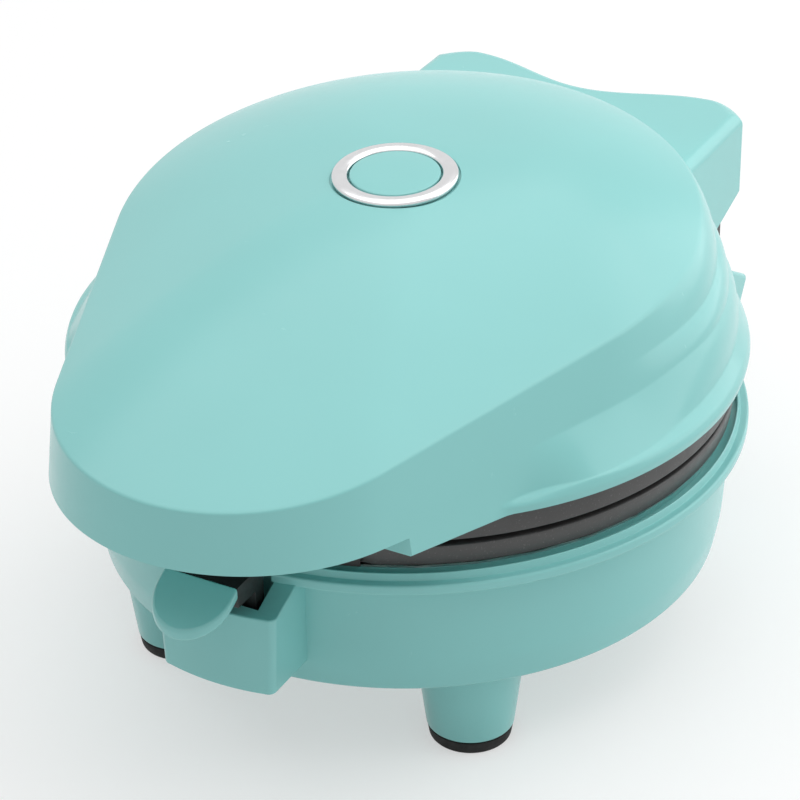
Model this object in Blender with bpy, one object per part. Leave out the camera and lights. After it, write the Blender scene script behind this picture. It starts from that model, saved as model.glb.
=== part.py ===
"""A small electric contact grill: a pear-shaped lid hinged on a round base, with a sprung front latch.

Metres, +Z up, the table at z = 0, the nose and latch towards -Y, the hinge towards +Y.
Shapes are drawn about the upright axis of the round grill plates, then the whole is moved along Y
so that the middle of its box lies at y = 0.
"""
import math

import bpy
import bmesh
from mathutils import Matrix, Vector

# Clearances
GAP = 0.0003
RUNNING_GAP = 0.0005

# Base shell, from the table up
PAD_HEIGHT = 0.0026
BASE_BOTTOM = 0.0189
BASE_BOTTOM_RADIUS = 0.0597
BASE_BELLY_HEIGHT = 0.0249
BASE_BELLY_RADIUS = 0.0608
WALL_TOP_RADIUS = 0.0620
LIP_UNDERSIDE = 0.0432
LIP_RADIUS = 0.0650
LIP_TOP = 0.0450
LIP_GROOVE_OUTER = 0.0642
LIP_GROOVE_INNER = 0.0634
LIP_GROOVE_DEPTH = 0.0007
RIM_RADIUS = 0.0623
RIM_TOP = 0.0460
RIM_OPENING = 0.0590
BASE_WALL = 0.0023
BASE_SEGMENTS = 64

# Lid shell
LID_UNDERSIDE = 0.0574
FLANGE_RADIUS = 0.0647
FLANGE_EASE = 0.0003
FLANGE_WIDEST_HEIGHT = 0.0591
FLANGE_SHOULDER_RADIUS = 0.0642
FLANGE_SHOULDER_HEIGHT = 0.0606
LOW_CREASE_RADIUS = 0.0622
LOW_CREASE_HEIGHT = 0.0626
LOW_CREASE_SLOPE_SHARE = 0.072
MIDDLE_CREASE_RADIUS = 0.0601
MIDDLE_CREASE_HEIGHT = 0.0717
HIGH_CREASE_RADIUS = 0.0577
HIGH_CREASE_HEIGHT = 0.0752
HIGH_CREASE_SLOPE_SHARE = 0.089
TOP_EDGE_RADIUS = 0.0546
TOP_EDGE_HEIGHT = 0.0825
TOP_EDGE_SLOPE_SHARE = 0.115
NOSE_TOP_RADIUS = 0.0348
NOSE_TOP_Y = -0.0556
SKIRT_RADIUS = 0.0604
NOSE_SKIRT_RADIUS = 0.0367
NOSE_SKIRT_Y = -0.0553
CROWN_Y = 0.0095
CROWN_HEIGHT = 0.0942
LID_WALL = 0.0022
NOSE_UNDERSIDE = 0.0610
NOSE_STEP_Y = -0.0650
LID_OPENING = 0.0580

# Grill plates and what is stacked behind each of them
PLATE_RADIUS = 0.0622
PLATE_BAND_TAPER = 0.0004
PLATE_GAP = 0.0009
PLATE_WALL = 0.0016
PLATE_RIM_WIDTH = 0.0062
PLATE_DEPTH = 0.0045
PLATE_DRAFT = 0.0022
PLATE_FLAT_Y = -0.0572
RIDGE_HEIGHT = 0.0020
RIDGE_FOOT = 0.0030
RIDGE_TOP = 0.0014
RIDGE_PITCH = 0.0100
RIDGE_COUNT = 9
RIDGE_REACH = 0.0485
REFLECTOR_SHEET = 0.0004
REFLECTOR_RIM_RADIUS = 0.0612
REFLECTOR_MOUTH_RADIUS = 0.0566
REFLECTOR_FLOOR_RADIUS = 0.0500
REFLECTOR_DEPTH = 0.0130
HEATER_TUBE = 0.0030
HEATER_RING = 0.0360
HEATER_OPENING_DEGREES = 22.0
HEATER_BEND = 0.0050
HEATER_TAIL = 0.0055
HEATER_SIDES = 8
HEATER_STEPS = 28

# Feet
FOOT_X = 0.0317
FOOT_Y = 0.0356
FOOT_TOP_RADIUS = 0.0091
FOOT_LOW_RADIUS = 0.0085
PAD_LOW_RADIUS = 0.0078
PAD_STUB_RADIUS = 0.0040
PAD_STUB_HEIGHT = 0.0040
COVER_SHEET = 0.0022
COVER_RECESS = 0.0004
ROUND_SEGMENTS = 20

# Screws
SCREW_HEAD_RADIUS = 0.0026
SCREW_HEAD_HEIGHT = 0.0015
SCREW_SHANK_RADIUS = 0.0013
SCREW_LENGTH = 0.0080
SCREW_POST_RADIUS = 0.0036
SCREW_POST_HEIGHT = 0.0100
SCREW_RING = 0.0532
SCREW_ANGLE_DEGREES = 20.0
SMALL_SEGMENTS = 12
BADGE_SEGMENTS = 36
REFLECTOR_SEGMENTS = 36
WIRE_SIDES = 5

# Latch pocket on the front of the base
POCKET_HALF_LOW = 0.0114
POCKET_HALF_TOP = 0.0123
POCKET_FRONT_Y = -0.0720
POCKET_BOW = 0.0011
POCKET_CORNER = 0.0016
POCKET_BOTTOM = 0.0248
POCKET_RIM_FRONT = 0.0414
POCKET_RIM_REAR = 0.0444
POCKET_WALL = 0.0032
POCKET_FLOOR = 0.0022
POCKET_BACK_Y = -0.0624
POCKET_ROOT_Y = -0.0560

# Latch
LATCH_PIVOT_Y = -0.0662
LATCH_PIVOT_Z = 0.0360
LATCH_PIN_RADIUS = 0.0012
LATCH_BOSS_RADIUS = 0.0030
LATCH_SIDE_GAP = 0.0007
LATCH_ARM_FRONT_Y = -0.0690
LATCH_ARM_REAR_Y = -0.0662
LATCH_SHELF_FRONT_Y = -0.0710
LATCH_SHELF_BOTTOM = 0.0426
LATCH_TOP = 0.0556
TOOTH_BOTTOM = 0.0533
TOOTH_EASE = 0.0012
TAB_HALF = 0.0078
TAB_STRAIGHT_Y = -0.0790
TAB_TOP = 0.0460
TAB_THICKNESS = 0.0022
TAB_EASE = 0.0003
SPRING_WIRE = 0.0004
SPRING_COIL_RADIUS = 0.0022
SPRING_TURNS = 4
SPRING_HALF = 0.0028
SPRING_NOTCH_HALF = 0.0040
SPRING_NOTCH_TOP = 0.0405
STRIKE_BOTTOM = 0.0466
STRIKE_RADIUS = 0.0618
STRIKE_FRONT_Y = -0.0643
STRIKE_LEDGE_BOTTOM = 0.0503
STRIKE_LEDGE_TOP = 0.0530
STRIKE_HALF = 0.0060

# Hinge
HINGE_Y = 0.0714
HINGE_Z = 0.0483
HINGE_PIN_RADIUS = 0.0015
EAR_RADIUS = 0.0040
EAR_INNER = 0.0170
EAR_OUTER = 0.0252
ARM_RADIUS = 0.0038
ARM_OUTER = 0.0323
ARM_REAR_Y = 0.0751
BLOCK_HALF = 0.0358
BLOCK_TOP = 0.0444
BLOCK_TOP_REAR_Y = 0.0754
BLOCK_REAR_Y = 0.0832
BLOCK_REAR_TOP = 0.0399
BLOCK_LOW_Y = 0.0790
BLOCK_LOW_Z = 0.0330
BLOCK_FOOT_Y = 0.0620
BLOCK_FOOT_Z = 0.0312
BLOCK_START_Y = 0.0500
BLOCK_HOLLOW_HALF = 0.0225
SLOT_FLOOR = 0.0425

# Tail of the lid, over the hinge
TAIL_HALF = 0.0348
TAIL_TOP = 0.0788
TAIL_SIDE_END_Y = 0.0775
TAIL_CORNER_X = 0.0265
TAIL_CORNER_Y = 0.0832
TAIL_DIP_Y = 0.0768
TAIL_START_Y = 0.0400
TAIL_ROUND = 0.0026
TAIL_LOW_Y = 0.0680
TAIL_LOW_Z = 0.0580
TAIL_HIGH_Y = 0.0809
TAIL_HIGH_Z = 0.0622
TAIL_INNER_START_Y = 0.0668
BRACKET_PLATE_BOTTOM = 0.0612
BRACKET_PLATE_TOP = 0.0632
BRACKET_PLATE_REAR_Y = 0.0740
BRACKET_SCREW_X = 0.0120
BRACKET_SCREW_Y = 0.0712

# Badge ring set in the crown
BADGE_Y = -0.0037
BADGE_Z = 0.0939
BADGE_TILT_DEGREES = 2.6
BADGE_OUTER = 0.0117
BADGE_INNER = 0.0087
BADGE_DEPTH = 0.0010
BADGE_STAND = 0.0004
DISC_STAND = 0.0002

# Inside the base
THERMOSTAT_RADIUS = 0.0080
THERMOSTAT_HEIGHT = 0.0065
FUSE_RADIUS = 0.0020
FUSE_HALF = 0.0060
FUSE_X = 0.0200
INLET_Z = 0.0262
INLET_RADIUS = 0.0033
INLET_FLANGE_RADIUS = 0.0044
INLET_FLANGE = 0.0012
INLET_BORE = 0.0021

# Derived sizes that several pieces share
PLATE_MIDDLE = (RIM_TOP + LID_UNDERSIDE) / 2
NOSE_TIP_Y = NOSE_SKIRT_Y - NOSE_SKIRT_RADIUS
AXIS_SHIFT = -(NOSE_TIP_Y + TAIL_CORNER_Y) / 2
ABOVE_ALL = CROWN_HEIGHT + LIP_RADIUS


def clear_scene():
    for obj in list(bpy.data.objects):
        bpy.data.objects.remove(obj, do_unlink=True)


def plain_material(name, colour, roughness, metallic=0.0):
    material = bpy.data.materials.new(name)
    material.use_nodes = True
    shader = material.node_tree.nodes["Principled BSDF"]
    shader.inputs["Base Color"].default_value = (*colour, 1.0)
    shader.inputs["Roughness"].default_value = roughness
    shader.inputs["Metallic"].default_value = metallic
    return material


AQUA_COLOUR = (0.29, 0.66, 0.64)
GREY_COLOUR = (0.065, 0.062, 0.062)
BLACK_COLOUR = (0.012, 0.012, 0.012)
STEEL_COLOUR = (0.60, 0.60, 0.60)
CHROME_COLOUR = (0.80, 0.80, 0.80)
MATERIALS = {}


def make_materials():
    MATERIALS["aqua"] = plain_material("gloss_aqua_plastic", AQUA_COLOUR, 0.25)
    MATERIALS["plate"] = plain_material("coated_plate", GREY_COLOUR, 0.50)
    MATERIALS["black"] = plain_material("black_plastic", BLACK_COLOUR, 0.45)
    MATERIALS["grey"] = plain_material("dark_grey_plastic", GREY_COLOUR, 0.45)
    MATERIALS["rubber"] = plain_material("pad_rubber", BLACK_COLOUR, 0.85)
    MATERIALS["steel"] = plain_material("bright_steel", STEEL_COLOUR, 0.35, 1.0)
    MATERIALS["chrome"] = plain_material("chrome_trim", CHROME_COLOUR, 0.12, 1.0)


def make_object(name, points, faces, material, origin=(0, 0, 0), smooth_degrees=32.0):
    """A named object with its origin at the given point of the plates' frame, moved into the final frame."""
    mesh = bpy.data.meshes.new(name)
    start = Vector(origin)
    mesh.from_pydata([Vector(p) - start for p in points], [], faces)
    build = bmesh.new()
    build.from_mesh(mesh)
    bmesh.ops.recalc_face_normals(build, faces=build.faces)
    limit = math.radians(smooth_degrees)
    for edge in build.edges:
        edge.smooth = edge.calc_face_angle(0) < limit
    for face in build.faces:
        face.smooth = True
    build.to_mesh(mesh)
    build.free()
    if material:
        mesh.materials.append(MATERIALS[material])
    obj = bpy.data.objects.new(name, mesh)
    obj.location = start + Vector((0, AXIS_SHIFT, 0))
    bpy.context.scene.collection.objects.link(obj)
    return obj


def as_cutter(obj):
    obj.hide_render = True
    obj.display_type = "WIRE"
    return obj


def combine(obj, other, operation):
    modifier = obj.modifiers.new(operation.lower(), "BOOLEAN")
    modifier.operation = operation
    modifier.solver = "EXACT"
    modifier.object = as_cutter(other)


def cut(obj, *cutters):
    for cutter in cutters:
        combine(obj, cutter, "DIFFERENCE")


def join(obj, *pieces):
    for piece in pieces:
        combine(obj, piece, "UNION")


def lathe(name, profile, segments, material, place=None, **more):
    """Turns a closed outline of (radius, height) pairs about the upright axis, then applies a placing matrix."""
    place = place or Matrix.Identity(4)
    points = []
    rows = []
    for radius, height in profile:
        if radius == 0:
            rows.append([len(points)] * segments)
            points.append(place @ Vector((0, 0, height)))
            continue
        rows.append(list(range(len(points), len(points) + segments)))
        for step in range(segments):
            turn = math.tau * step / segments
            points.append(place @ Vector((radius * math.cos(turn), radius * math.sin(turn), height)))
    faces = []
    for index in range(len(rows)):
        lower = rows[index]
        upper = rows[(index + 1) % len(rows)]
        for step in range(segments):
            after = (step + 1) % segments
            loop = [lower[step], lower[after], upper[after], upper[step]]
            loop = list(dict.fromkeys(loop))
            if len(loop) > 2:
                faces.append(loop)
    return make_object(name, points, faces, material, **more)


def stacked(name, rings, material, **more):
    """A solid through rings of equal count, flat across both ends; an end ring of one point makes a pole."""
    points = []
    rows = []
    count = max(len(ring) for ring in rings)
    for ring in rings:
        if len(ring) == 1:
            rows.append([len(points)] * count)
        else:
            rows.append(list(range(len(points), len(points) + count)))
        points.extend(ring)
    faces = []
    for lower, upper in zip(rows, rows[1:]):
        for step in range(count):
            after = (step + 1) % count
            loop = list(dict.fromkeys([lower[step], lower[after], upper[after], upper[step]]))
            if len(loop) > 2:
                faces.append(loop)
    for end in (rows[0], rows[-1]):
        if end[0] != end[1]:
            faces.append(end)
    return make_object(name, points, faces, material, **more)


def upright_prism(name, outline, low, high, material=None, **more):
    return stacked(name, [[(x, y, z) for x, y in outline] for z in (low, high)], material, **more)


def side_prism(name, outline, left, right, material=None, **more):
    """Extrudes an outline of (y, z) pairs along X."""
    return stacked(name, [[(x, y, z) for y, z in outline] for x in (left, right)], material, **more)


def box(name, low, high, material=None, **more):
    corners = [(low[0], low[1]), (high[0], low[1]), (high[0], high[1]), (low[0], high[1])]
    return upright_prism(name, corners, low[2], high[2], material, **more)


def placed(x, y, z, turn_x_degrees=0.0, turn_y_degrees=0.0):
    turn = Matrix.Rotation(math.radians(turn_x_degrees), 4, "X")
    lean = Matrix.Rotation(math.radians(turn_y_degrees), 4, "Y")
    return Matrix.Translation(Vector((x, y, z))) @ turn @ lean


def rod(name, radius, low, high, segments, material=None, place=None, **more):
    return lathe(name, [(0, low), (radius, low), (radius, high), (0, high)], segments, material, place, **more)


def cross_rod(name, radius, y, z, half, segments, material=None, **more):
    """A rod along X."""
    return rod(name, radius, -half, half, segments, material, placed(0, y, z, 0, 90.0), **more)


def blend(start, end, share):
    return start + (end - start) * share


def ease(value, start, end):
    """0 before start, 1 after end and a smooth rise between them."""
    share = min(max((value - start) / (end - start), 0.0), 1.0)
    return share * share * (3.0 - 2.0 * share)


def arc(centre_x, centre_y, radius, first, last, steps):
    """Points of an arc between two angles in degrees, both ends included."""
    turns = [math.radians(blend(first, last, step / steps)) for step in range(steps + 1)]
    return [(centre_x + radius * math.cos(turn), centre_y + radius * math.sin(turn)) for turn in turns]


def tube(name, path, radius, sides, material, **more):
    """A round bar swept along a path of points, flat at both ends."""
    path = [Vector(point) for point in path]
    rings = []
    side = None
    for index, point in enumerate(path):
        before = path[max(index - 1, 0)]
        after = path[min(index + 1, len(path) - 1)]
        along = (after - before).normalized()
        if side is None:
            side = along.orthogonal().normalized()
        side = (side - along * side.dot(along)).normalized()
        other = along.cross(side)
        turns = [math.tau * step / sides for step in range(sides)]
        rings.append([point + side * radius * math.cos(t) + other * radius * math.sin(t) for t in turns])
    return stacked(name, rings, material, **more)


def pear_radius(turn, big, small, centre_y):
    """Distance from the axis to the taut outline round a big circle at the axis and a small one before it."""
    tangent = -math.asin((big - small) / -centre_y)
    lean = math.asin(math.sin(turn))
    nose = math.atan2(centre_y + small * math.sin(tangent), small * math.cos(tangent))
    if lean >= tangent:
        return big
    if lean >= nose:
        return big / math.cos(lean - tangent)
    across = centre_y * math.cos(turn)
    return centre_y * math.sin(turn) + math.sqrt(small * small - across * across)


def lid_turns():
    """Angles of the lid's sections: closest round the nose, with one on the kink where skirt and flange meet."""
    right = []
    for first, last, steps in ((-90.0, -63.0, 9), (-63.0, -3.0, 15), (-3.0, 90.0, 20)):
        right.extend(blend(first, last, step / steps) for step in range(steps))
    nearest = min(right, key=lambda degrees: abs(degrees - FLANGE_KINK_DEGREES))
    right[right.index(nearest)] = FLANGE_KINK_DEGREES
    left = [180.0 - degrees for degrees in reversed(right[1:])]
    return [math.radians(degrees) for degrees in right + [90.0] + left]


def lid_section(turn):
    """Radius and height of every ring of the lid's outside at one angle, from the underside to the crown."""
    lean = math.degrees(math.asin(math.sin(turn)))
    low_share = ease(lean, *LOW_CREASE_FADE_DEGREES)
    middle_share = ease(lean, *MIDDLE_CREASE_FADE_DEGREES)
    high_share = ease(lean, *HIGH_CREASE_FADE_DEGREES)
    top_radius = pear_radius(turn, TOP_EDGE_RADIUS, NOSE_TOP_RADIUS, NOSE_TOP_Y)
    top = (top_radius, TOP_EDGE_HEIGHT + TOP_EDGE_SLOPE_SHARE * top_radius * math.sin(turn))
    skirt_radius = pear_radius(turn, SKIRT_RADIUS, NOSE_SKIRT_RADIUS, NOSE_SKIRT_Y)

    def wall(share):
        return (blend(skirt_radius, top[0], share), blend(LID_UNDERSIDE, top[1], share))

    def crease(share, plain_share, radius, height, slope=0.0):
        plain = wall(plain_share)
        full = (radius, height + slope * radius * math.sin(turn))
        return (blend(plain[0], full[0], share), blend(plain[1], full[1], share))

    def bulge(upper, lower, out_share, down_share, share):
        """A ring of a convex band between two creases; a plain straight band where the creases have faded."""
        even = (out_share + down_share) / 2
        out = blend(even, out_share, share)
        down = blend(even, down_share, share)
        return (blend(upper[0], lower[0], out), blend(upper[1], lower[1], down))

    low = crease(low_share, 0.13, LOW_CREASE_RADIUS, LOW_CREASE_HEIGHT, LOW_CREASE_SLOPE_SHARE)
    middle = crease(middle_share, 0.50, MIDDLE_CREASE_RADIUS, MIDDLE_CREASE_HEIGHT)
    high = crease(high_share, 0.74, HIGH_CREASE_RADIUS, HIGH_CREASE_HEIGHT, HIGH_CREASE_SLOPE_SHARE)
    bottom = (max(FLANGE_RADIUS - FLANGE_EASE, skirt_radius), LID_UNDERSIDE)
    widest = (max(FLANGE_RADIUS, skirt_radius), FLANGE_WIDEST_HEIGHT)
    if skirt_radius > FLANGE_RADIUS:
        widest = wall((FLANGE_WIDEST_HEIGHT - LID_UNDERSIDE) / (top[1] - LID_UNDERSIDE))
    full_shoulder = (FLANGE_SHOULDER_RADIUS, FLANGE_SHOULDER_HEIGHT)
    plain_shoulder = bulge(low, widest, 0.5, 0.5, 0.0)
    shoulder = tuple(blend(a, b, low_share) for a, b in zip(plain_shoulder, full_shoulder))
    rings = [bottom, widest, shoulder, low]
    rings += [bulge(middle, low, out, down, middle_share) for out, down in reversed(BAND_SHARES)]
    rings += [middle, bulge(high, middle, *BAND_SHARES[0], middle_share), high]
    rings += [bulge(top, high, out, down, high_share) for out, down in reversed(BAND_SHARES)]
    rings.append(top)
    return rings


def crown_point(turn, share, inset=0.0):
    """A point of the lid's top: share 1 on its crisp edge and 0 at the middle of the crown."""
    radius = pear_radius(turn, TOP_EDGE_RADIUS, NOSE_TOP_RADIUS, NOSE_TOP_Y)
    lean = math.degrees(math.asin(math.sin(turn)))
    power = blend(CROWN_POWER_FRONT, CROWN_POWER_REAR, ease(lean, *CROWN_FADE_DEGREES))
    edge_height = TOP_EDGE_HEIGHT + TOP_EDGE_SLOPE_SHARE * radius * math.sin(turn)
    radius -= inset
    x = radius * math.cos(turn) * share
    y = blend(CROWN_Y, radius * math.sin(turn), share)
    return (x, y, blend(CROWN_HEIGHT, edge_height, share ** power) - inset)


FLANGE_KINK_DEGREES = -44.3
LOW_CREASE_FADE_DEGREES = (-48.0, -12.0)
MIDDLE_CREASE_FADE_DEGREES = (-20.0, 8.0)
HIGH_CREASE_FADE_DEGREES = (-16.0, 12.0)
CROWN_FADE_DEGREES = (-20.0, 70.0)
CROWN_POWER_FRONT = 2.1
CROWN_POWER_REAR = 3.2
BAND_SHARES = ((0.62, 0.25), (0.92, 0.62))
CROWN_SHARES = (0.985, 0.93, 0.82, 0.66, 0.45, 0.22)
INNER_SHARES = (0.90, 0.65, 0.30)


def polar(turn, pair):
    return (pair[0] * math.cos(turn), pair[0] * math.sin(turn), pair[1])


def tail_outline(inset=0.0, start_y=TAIL_START_Y):
    """Plan of the tail: straight sides, rounded rear corners and a rear edge that dips in the middle."""
    half = TAIL_HALF - inset
    corner_x = TAIL_CORNER_X
    corner_y = TAIL_CORNER_Y - inset
    dip_y = TAIL_DIP_Y - inset
    side_y = TAIL_SIDE_END_Y - inset
    right = [(half, start_y), (half, side_y)]
    for share in TAIL_CORNER_SHARES:
        turn = share * math.pi / 2
        x = blend(corner_x, half, math.cos(turn))
        right.append((x, blend(side_y, corner_y, math.sin(turn))))
    for share in TAIL_DIP_SHARES:
        x = corner_x * (1 - share)
        right.append((x, blend(corner_y, dip_y, 0.5 - 0.5 * math.cos(math.pi * share))))
    left = [(-x, y) for x, y in reversed(right) if x > 0]
    return right + left


TAIL_CORNER_SHARES = (0.25, 0.5, 0.75, 1.0)
TAIL_DIP_SHARES = (0.16, 0.33, 0.5, 0.67, 0.84, 1.0)


def level(outline, z):
    return [(x, y, z) for x, y in outline]


def make_tail_solid():
    edge_z = TAIL_TOP - TAIL_ROUND
    rings = [level(tail_outline(), LID_UNDERSIDE), level(tail_outline(), edge_z)]
    for share in TAIL_ROUND_SHARES:
        turn = share * math.pi / 2
        inset = TAIL_ROUND * (1 - math.cos(turn))
        rings.append(level(tail_outline(inset), edge_z + TAIL_ROUND * math.sin(turn)))
    tail = stacked("tail_solid", rings, "aqua")
    slope = (TAIL_HIGH_Z - TAIL_LOW_Z) / (TAIL_HIGH_Y - TAIL_LOW_Y)
    far_y = TAIL_CORNER_Y + LID_WALL
    near_y = TAIL_START_Y - LID_WALL
    under = [
        (near_y, TAIL_LOW_Z + slope * (near_y - TAIL_LOW_Y)),
        (near_y, 0),
        (far_y, 0),
        (far_y, TAIL_LOW_Z + slope * (far_y - TAIL_LOW_Y)),
    ]
    cut(tail, side_prism("tail_under_cut", under, -LIP_RADIUS, LIP_RADIUS))
    return tail


TAIL_ROUND_SHARES = (0.35, 0.7, 1.0)


def badge_place(shift=0.0):
    lean = Matrix.Rotation(math.radians(BADGE_TILT_DEGREES), 4, "X")
    return Matrix.Translation(Vector((0, BADGE_Y, BADGE_Z))) @ lean @ Matrix.Translation(Vector((0, 0, shift)))


def make_lid_shell():
    turns = lid_turns()
    sections = [lid_section(turn) for turn in turns]
    rings = [[polar(turn, section[row]) for turn, section in zip(turns, sections)] for row in range(len(sections[0]))]
    rings += [[crown_point(turn, share) for turn in turns] for share in CROWN_SHARES]
    rings.append([(0, CROWN_Y, CROWN_HEIGHT)])
    lid = stacked("lid_shell", rings, "aqua", origin=(0, HINGE_Y, HINGE_Z), smooth_degrees=24.0)
    join(lid, make_tail_solid())

    inner_turns = turns[::2]
    floor = NOSE_UNDERSIDE + LID_WALL
    inner = [[polar(turn, (lid_section(turn)[3][0] - LID_WALL, floor)) for turn in inner_turns]]
    inner.append([polar(turn, narrowed(lid_section(turn)[6])) for turn in inner_turns])
    inner.append([polar(turn, narrowed(lid_section(turn)[8])) for turn in inner_turns])
    inner.append([crown_point(turn, 1.0, LID_WALL) for turn in inner_turns])
    inner += [[crown_point(turn, share, LID_WALL) for turn in inner_turns] for share in INNER_SHARES]
    inner.append([(0, CROWN_Y, CROWN_HEIGHT - LID_WALL)])
    cut(lid, stacked("lid_hollow_cut", inner, None))
    cut(lid, rod("lid_opening_cut", LID_OPENING, 0, floor + GAP, BASE_SEGMENTS))
    below = (NOSE_TIP_Y - LID_WALL, NOSE_STEP_Y)
    cut(lid, box("nose_under_cut", (-LIP_RADIUS, below[0], 0), (LIP_RADIUS, below[1], NOSE_UNDERSIDE)))

    hollow = upright_prism("tail_hollow_cut", tail_outline(LID_WALL), floor, TAIL_TOP - LID_WALL)
    for side, word in ((-1, "left"), (1, "right")):
        place = placed(side * BRACKET_SCREW_X, BRACKET_SCREW_Y, 0)
        cut(hollow, make_post("tail_post_" + word, BRACKET_PLATE_TOP - GAP, TAIL_TOP, place))
    rear = tail_outline(LID_WALL, TAIL_INNER_START_Y)
    cut(lid, upright_prism("tail_mouth_cut", rear, 0, floor + GAP))
    seat = BADGE_OUTER + GAP
    cut(lid, rod("badge_seat_cut", seat, -BADGE_DEPTH, BADGE_DEPTH, BADGE_SEGMENTS, None, badge_place()))
    cut(lid, hollow)
    return lid


def narrowed(pair):
    return (pair[0] - LID_WALL, pair[1])


def make_base_shell():
    profile = [
        (0, BASE_BOTTOM),
        (BASE_BOTTOM_RADIUS, BASE_BOTTOM),
        (BASE_BELLY_RADIUS, BASE_BELLY_HEIGHT),
        (WALL_TOP_RADIUS, LIP_UNDERSIDE),
        (LIP_RADIUS - GAP, LIP_UNDERSIDE),
        (LIP_RADIUS, LIP_UNDERSIDE + GAP),
        (LIP_RADIUS, LIP_TOP - GAP),
        (LIP_RADIUS - GAP, LIP_TOP),
        (LIP_GROOVE_OUTER, LIP_TOP),
        (LIP_GROOVE_OUTER, LIP_TOP - LIP_GROOVE_DEPTH),
        (LIP_GROOVE_INNER, LIP_TOP - LIP_GROOVE_DEPTH),
        (LIP_GROOVE_INNER, LIP_TOP + LIP_GROOVE_DEPTH),
        (RIM_RADIUS, RIM_TOP),
        (0, RIM_TOP),
    ]
    base = lathe("base_shell", profile, BASE_SEGMENTS, "aqua")
    join(base, make_pocket_solid())
    block = [
        (BLOCK_START_Y, BLOCK_TOP),
        (BLOCK_TOP_REAR_Y, BLOCK_TOP),
        (BLOCK_REAR_Y, BLOCK_REAR_TOP),
        (BLOCK_LOW_Y, BLOCK_LOW_Z),
        (BLOCK_FOOT_Y, BLOCK_FOOT_Z),
        (BLOCK_START_Y, BLOCK_FOOT_Z),
    ]
    join(base, side_prism("hinge_block_solid", block, -BLOCK_HALF, BLOCK_HALF, "aqua"))
    ear = [(HINGE_Y + 2 * EAR_RADIUS * share, BLOCK_TOP - BASE_WALL / 2) for share in EAR_FOOT_SHARES]
    ear += arc(HINGE_Y, HINGE_Z, EAR_RADIUS, 10, 170, 8)
    for side, word in ((-1, "left"), (1, "right")):
        ends = sorted((side * EAR_INNER, side * (EAR_OUTER + GAP)))
        join(base, side_prism("hinge_ear_" + word, ear, *ends, "aqua"))
    hollow = [
        (0, RIM_TOP + LIP_RADIUS),
        (RIM_OPENING, RIM_TOP + LIP_RADIUS),
        (RIM_OPENING, LIP_UNDERSIDE),
        (WALL_TOP_RADIUS - BASE_WALL, LIP_UNDERSIDE - BASE_WALL),
        (BASE_BELLY_RADIUS - BASE_WALL, BASE_BELLY_HEIGHT),
        (BASE_BOTTOM_RADIUS - BASE_WALL, BASE_BOTTOM),
        (BASE_BOTTOM_RADIUS - BASE_WALL, 0),
        (0, 0),
    ]
    cut(base, lathe("base_hollow_cut", hollow, BASE_SEGMENTS, None))
    inside = [
        (BLOCK_START_Y, BLOCK_TOP - BASE_WALL),
        (BLOCK_TOP_REAR_Y - BASE_WALL, BLOCK_TOP - BASE_WALL),
        (BLOCK_LOW_Y - BASE_WALL, BLOCK_REAR_TOP - BASE_WALL),
        (BLOCK_LOW_Y - 2 * BASE_WALL, BLOCK_LOW_Z + BASE_WALL),
        (BLOCK_FOOT_Y, BLOCK_FOOT_Z + BASE_WALL),
        (BLOCK_START_Y, BLOCK_FOOT_Z + BASE_WALL),
    ]
    cut(base, side_prism("hinge_block_hollow_cut", inside, -BLOCK_HOLLOW_HALF, BLOCK_HOLLOW_HALF))
    cavity_half = POCKET_HALF_TOP - POCKET_WALL
    low = (-cavity_half, pocket_inner_front(), POCKET_BOTTOM + POCKET_FLOOR)
    cut(base, box("pocket_cavity_cut", low, (cavity_half, POCKET_BACK_Y, ABOVE_ALL)))
    for side, word in ((-1, "left"), (1, "right")):
        near = side * EAR_OUTER
        far = side * (ARM_OUTER + GAP)
        slot_low = (min(near, far), LIP_RADIUS, SLOT_FLOOR)
        slot_high = (max(near, far), BLOCK_REAR_Y + BASE_WALL, ABOVE_ALL)
        cut(base, box("arm_slot_cut_" + word, slot_low, slot_high))
    for index, degrees in enumerate(cover_screw_degrees()):
        turn = Matrix.Rotation(math.radians(degrees), 4, "Z")
        place = turn @ Matrix.Translation(Vector((SCREW_RING, 0, 0)))
        bottom = cover_top() + GAP
        top = bottom + SCREW_POST_HEIGHT
        label = str(index + 1)
        reach = (BASE_BOTTOM_RADIUS + BASE_BELLY_RADIUS) / 2 - BASE_WALL / 2
        web = upright_prism("cover_web_" + label, web_outline(reach, degrees), bottom + GAP, top - GAP, "aqua")
        join(web, make_post("cover_post_" + label, bottom, top, place))
        join(base, web)
    pin = HINGE_PIN_RADIUS + GAP
    cut(base, cross_rod("hinge_bore_cut", pin, HINGE_Y, HINGE_Z, ARM_OUTER, SMALL_SEGMENTS))
    pin = LATCH_PIN_RADIUS + GAP
    half = cavity_half + POCKET_WALL / 2 + GAP
    cut(base, cross_rod("latch_bore_cut", pin, LATCH_PIVOT_Y, LATCH_PIVOT_Z, half, SMALL_SEGMENTS))
    hole = INLET_RADIUS + GAP
    place = placed(0, 0, INLET_Z, -90.0)
    near = BASE_BOTTOM_RADIUS - 2 * BASE_WALL
    far = WALL_TOP_RADIUS + BASE_WALL
    cut(base, rod("inlet_hole_cut", hole, near, far, ROUND_SEGMENTS, None, place))
    return base


EAR_FOOT_SHARES = (-0.62, 0.62)
POCKET_CORNER_STEPS = 3
POCKET_BOW_SHARES = (0.66, 0.33, 0.0)


def make_post(name, bottom, top, place):
    """A round post with a blind bore for a screw, open at the bottom."""
    bore = SCREW_SHANK_RADIUS + GAP
    deep = bottom + SCREW_LENGTH
    profile = [(bore, bottom), (SCREW_POST_RADIUS, bottom), (SCREW_POST_RADIUS, top), (0, top), (0, deep), (bore, deep)]
    return lathe(name, profile, SMALL_SEGMENTS, "aqua", place)


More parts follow.
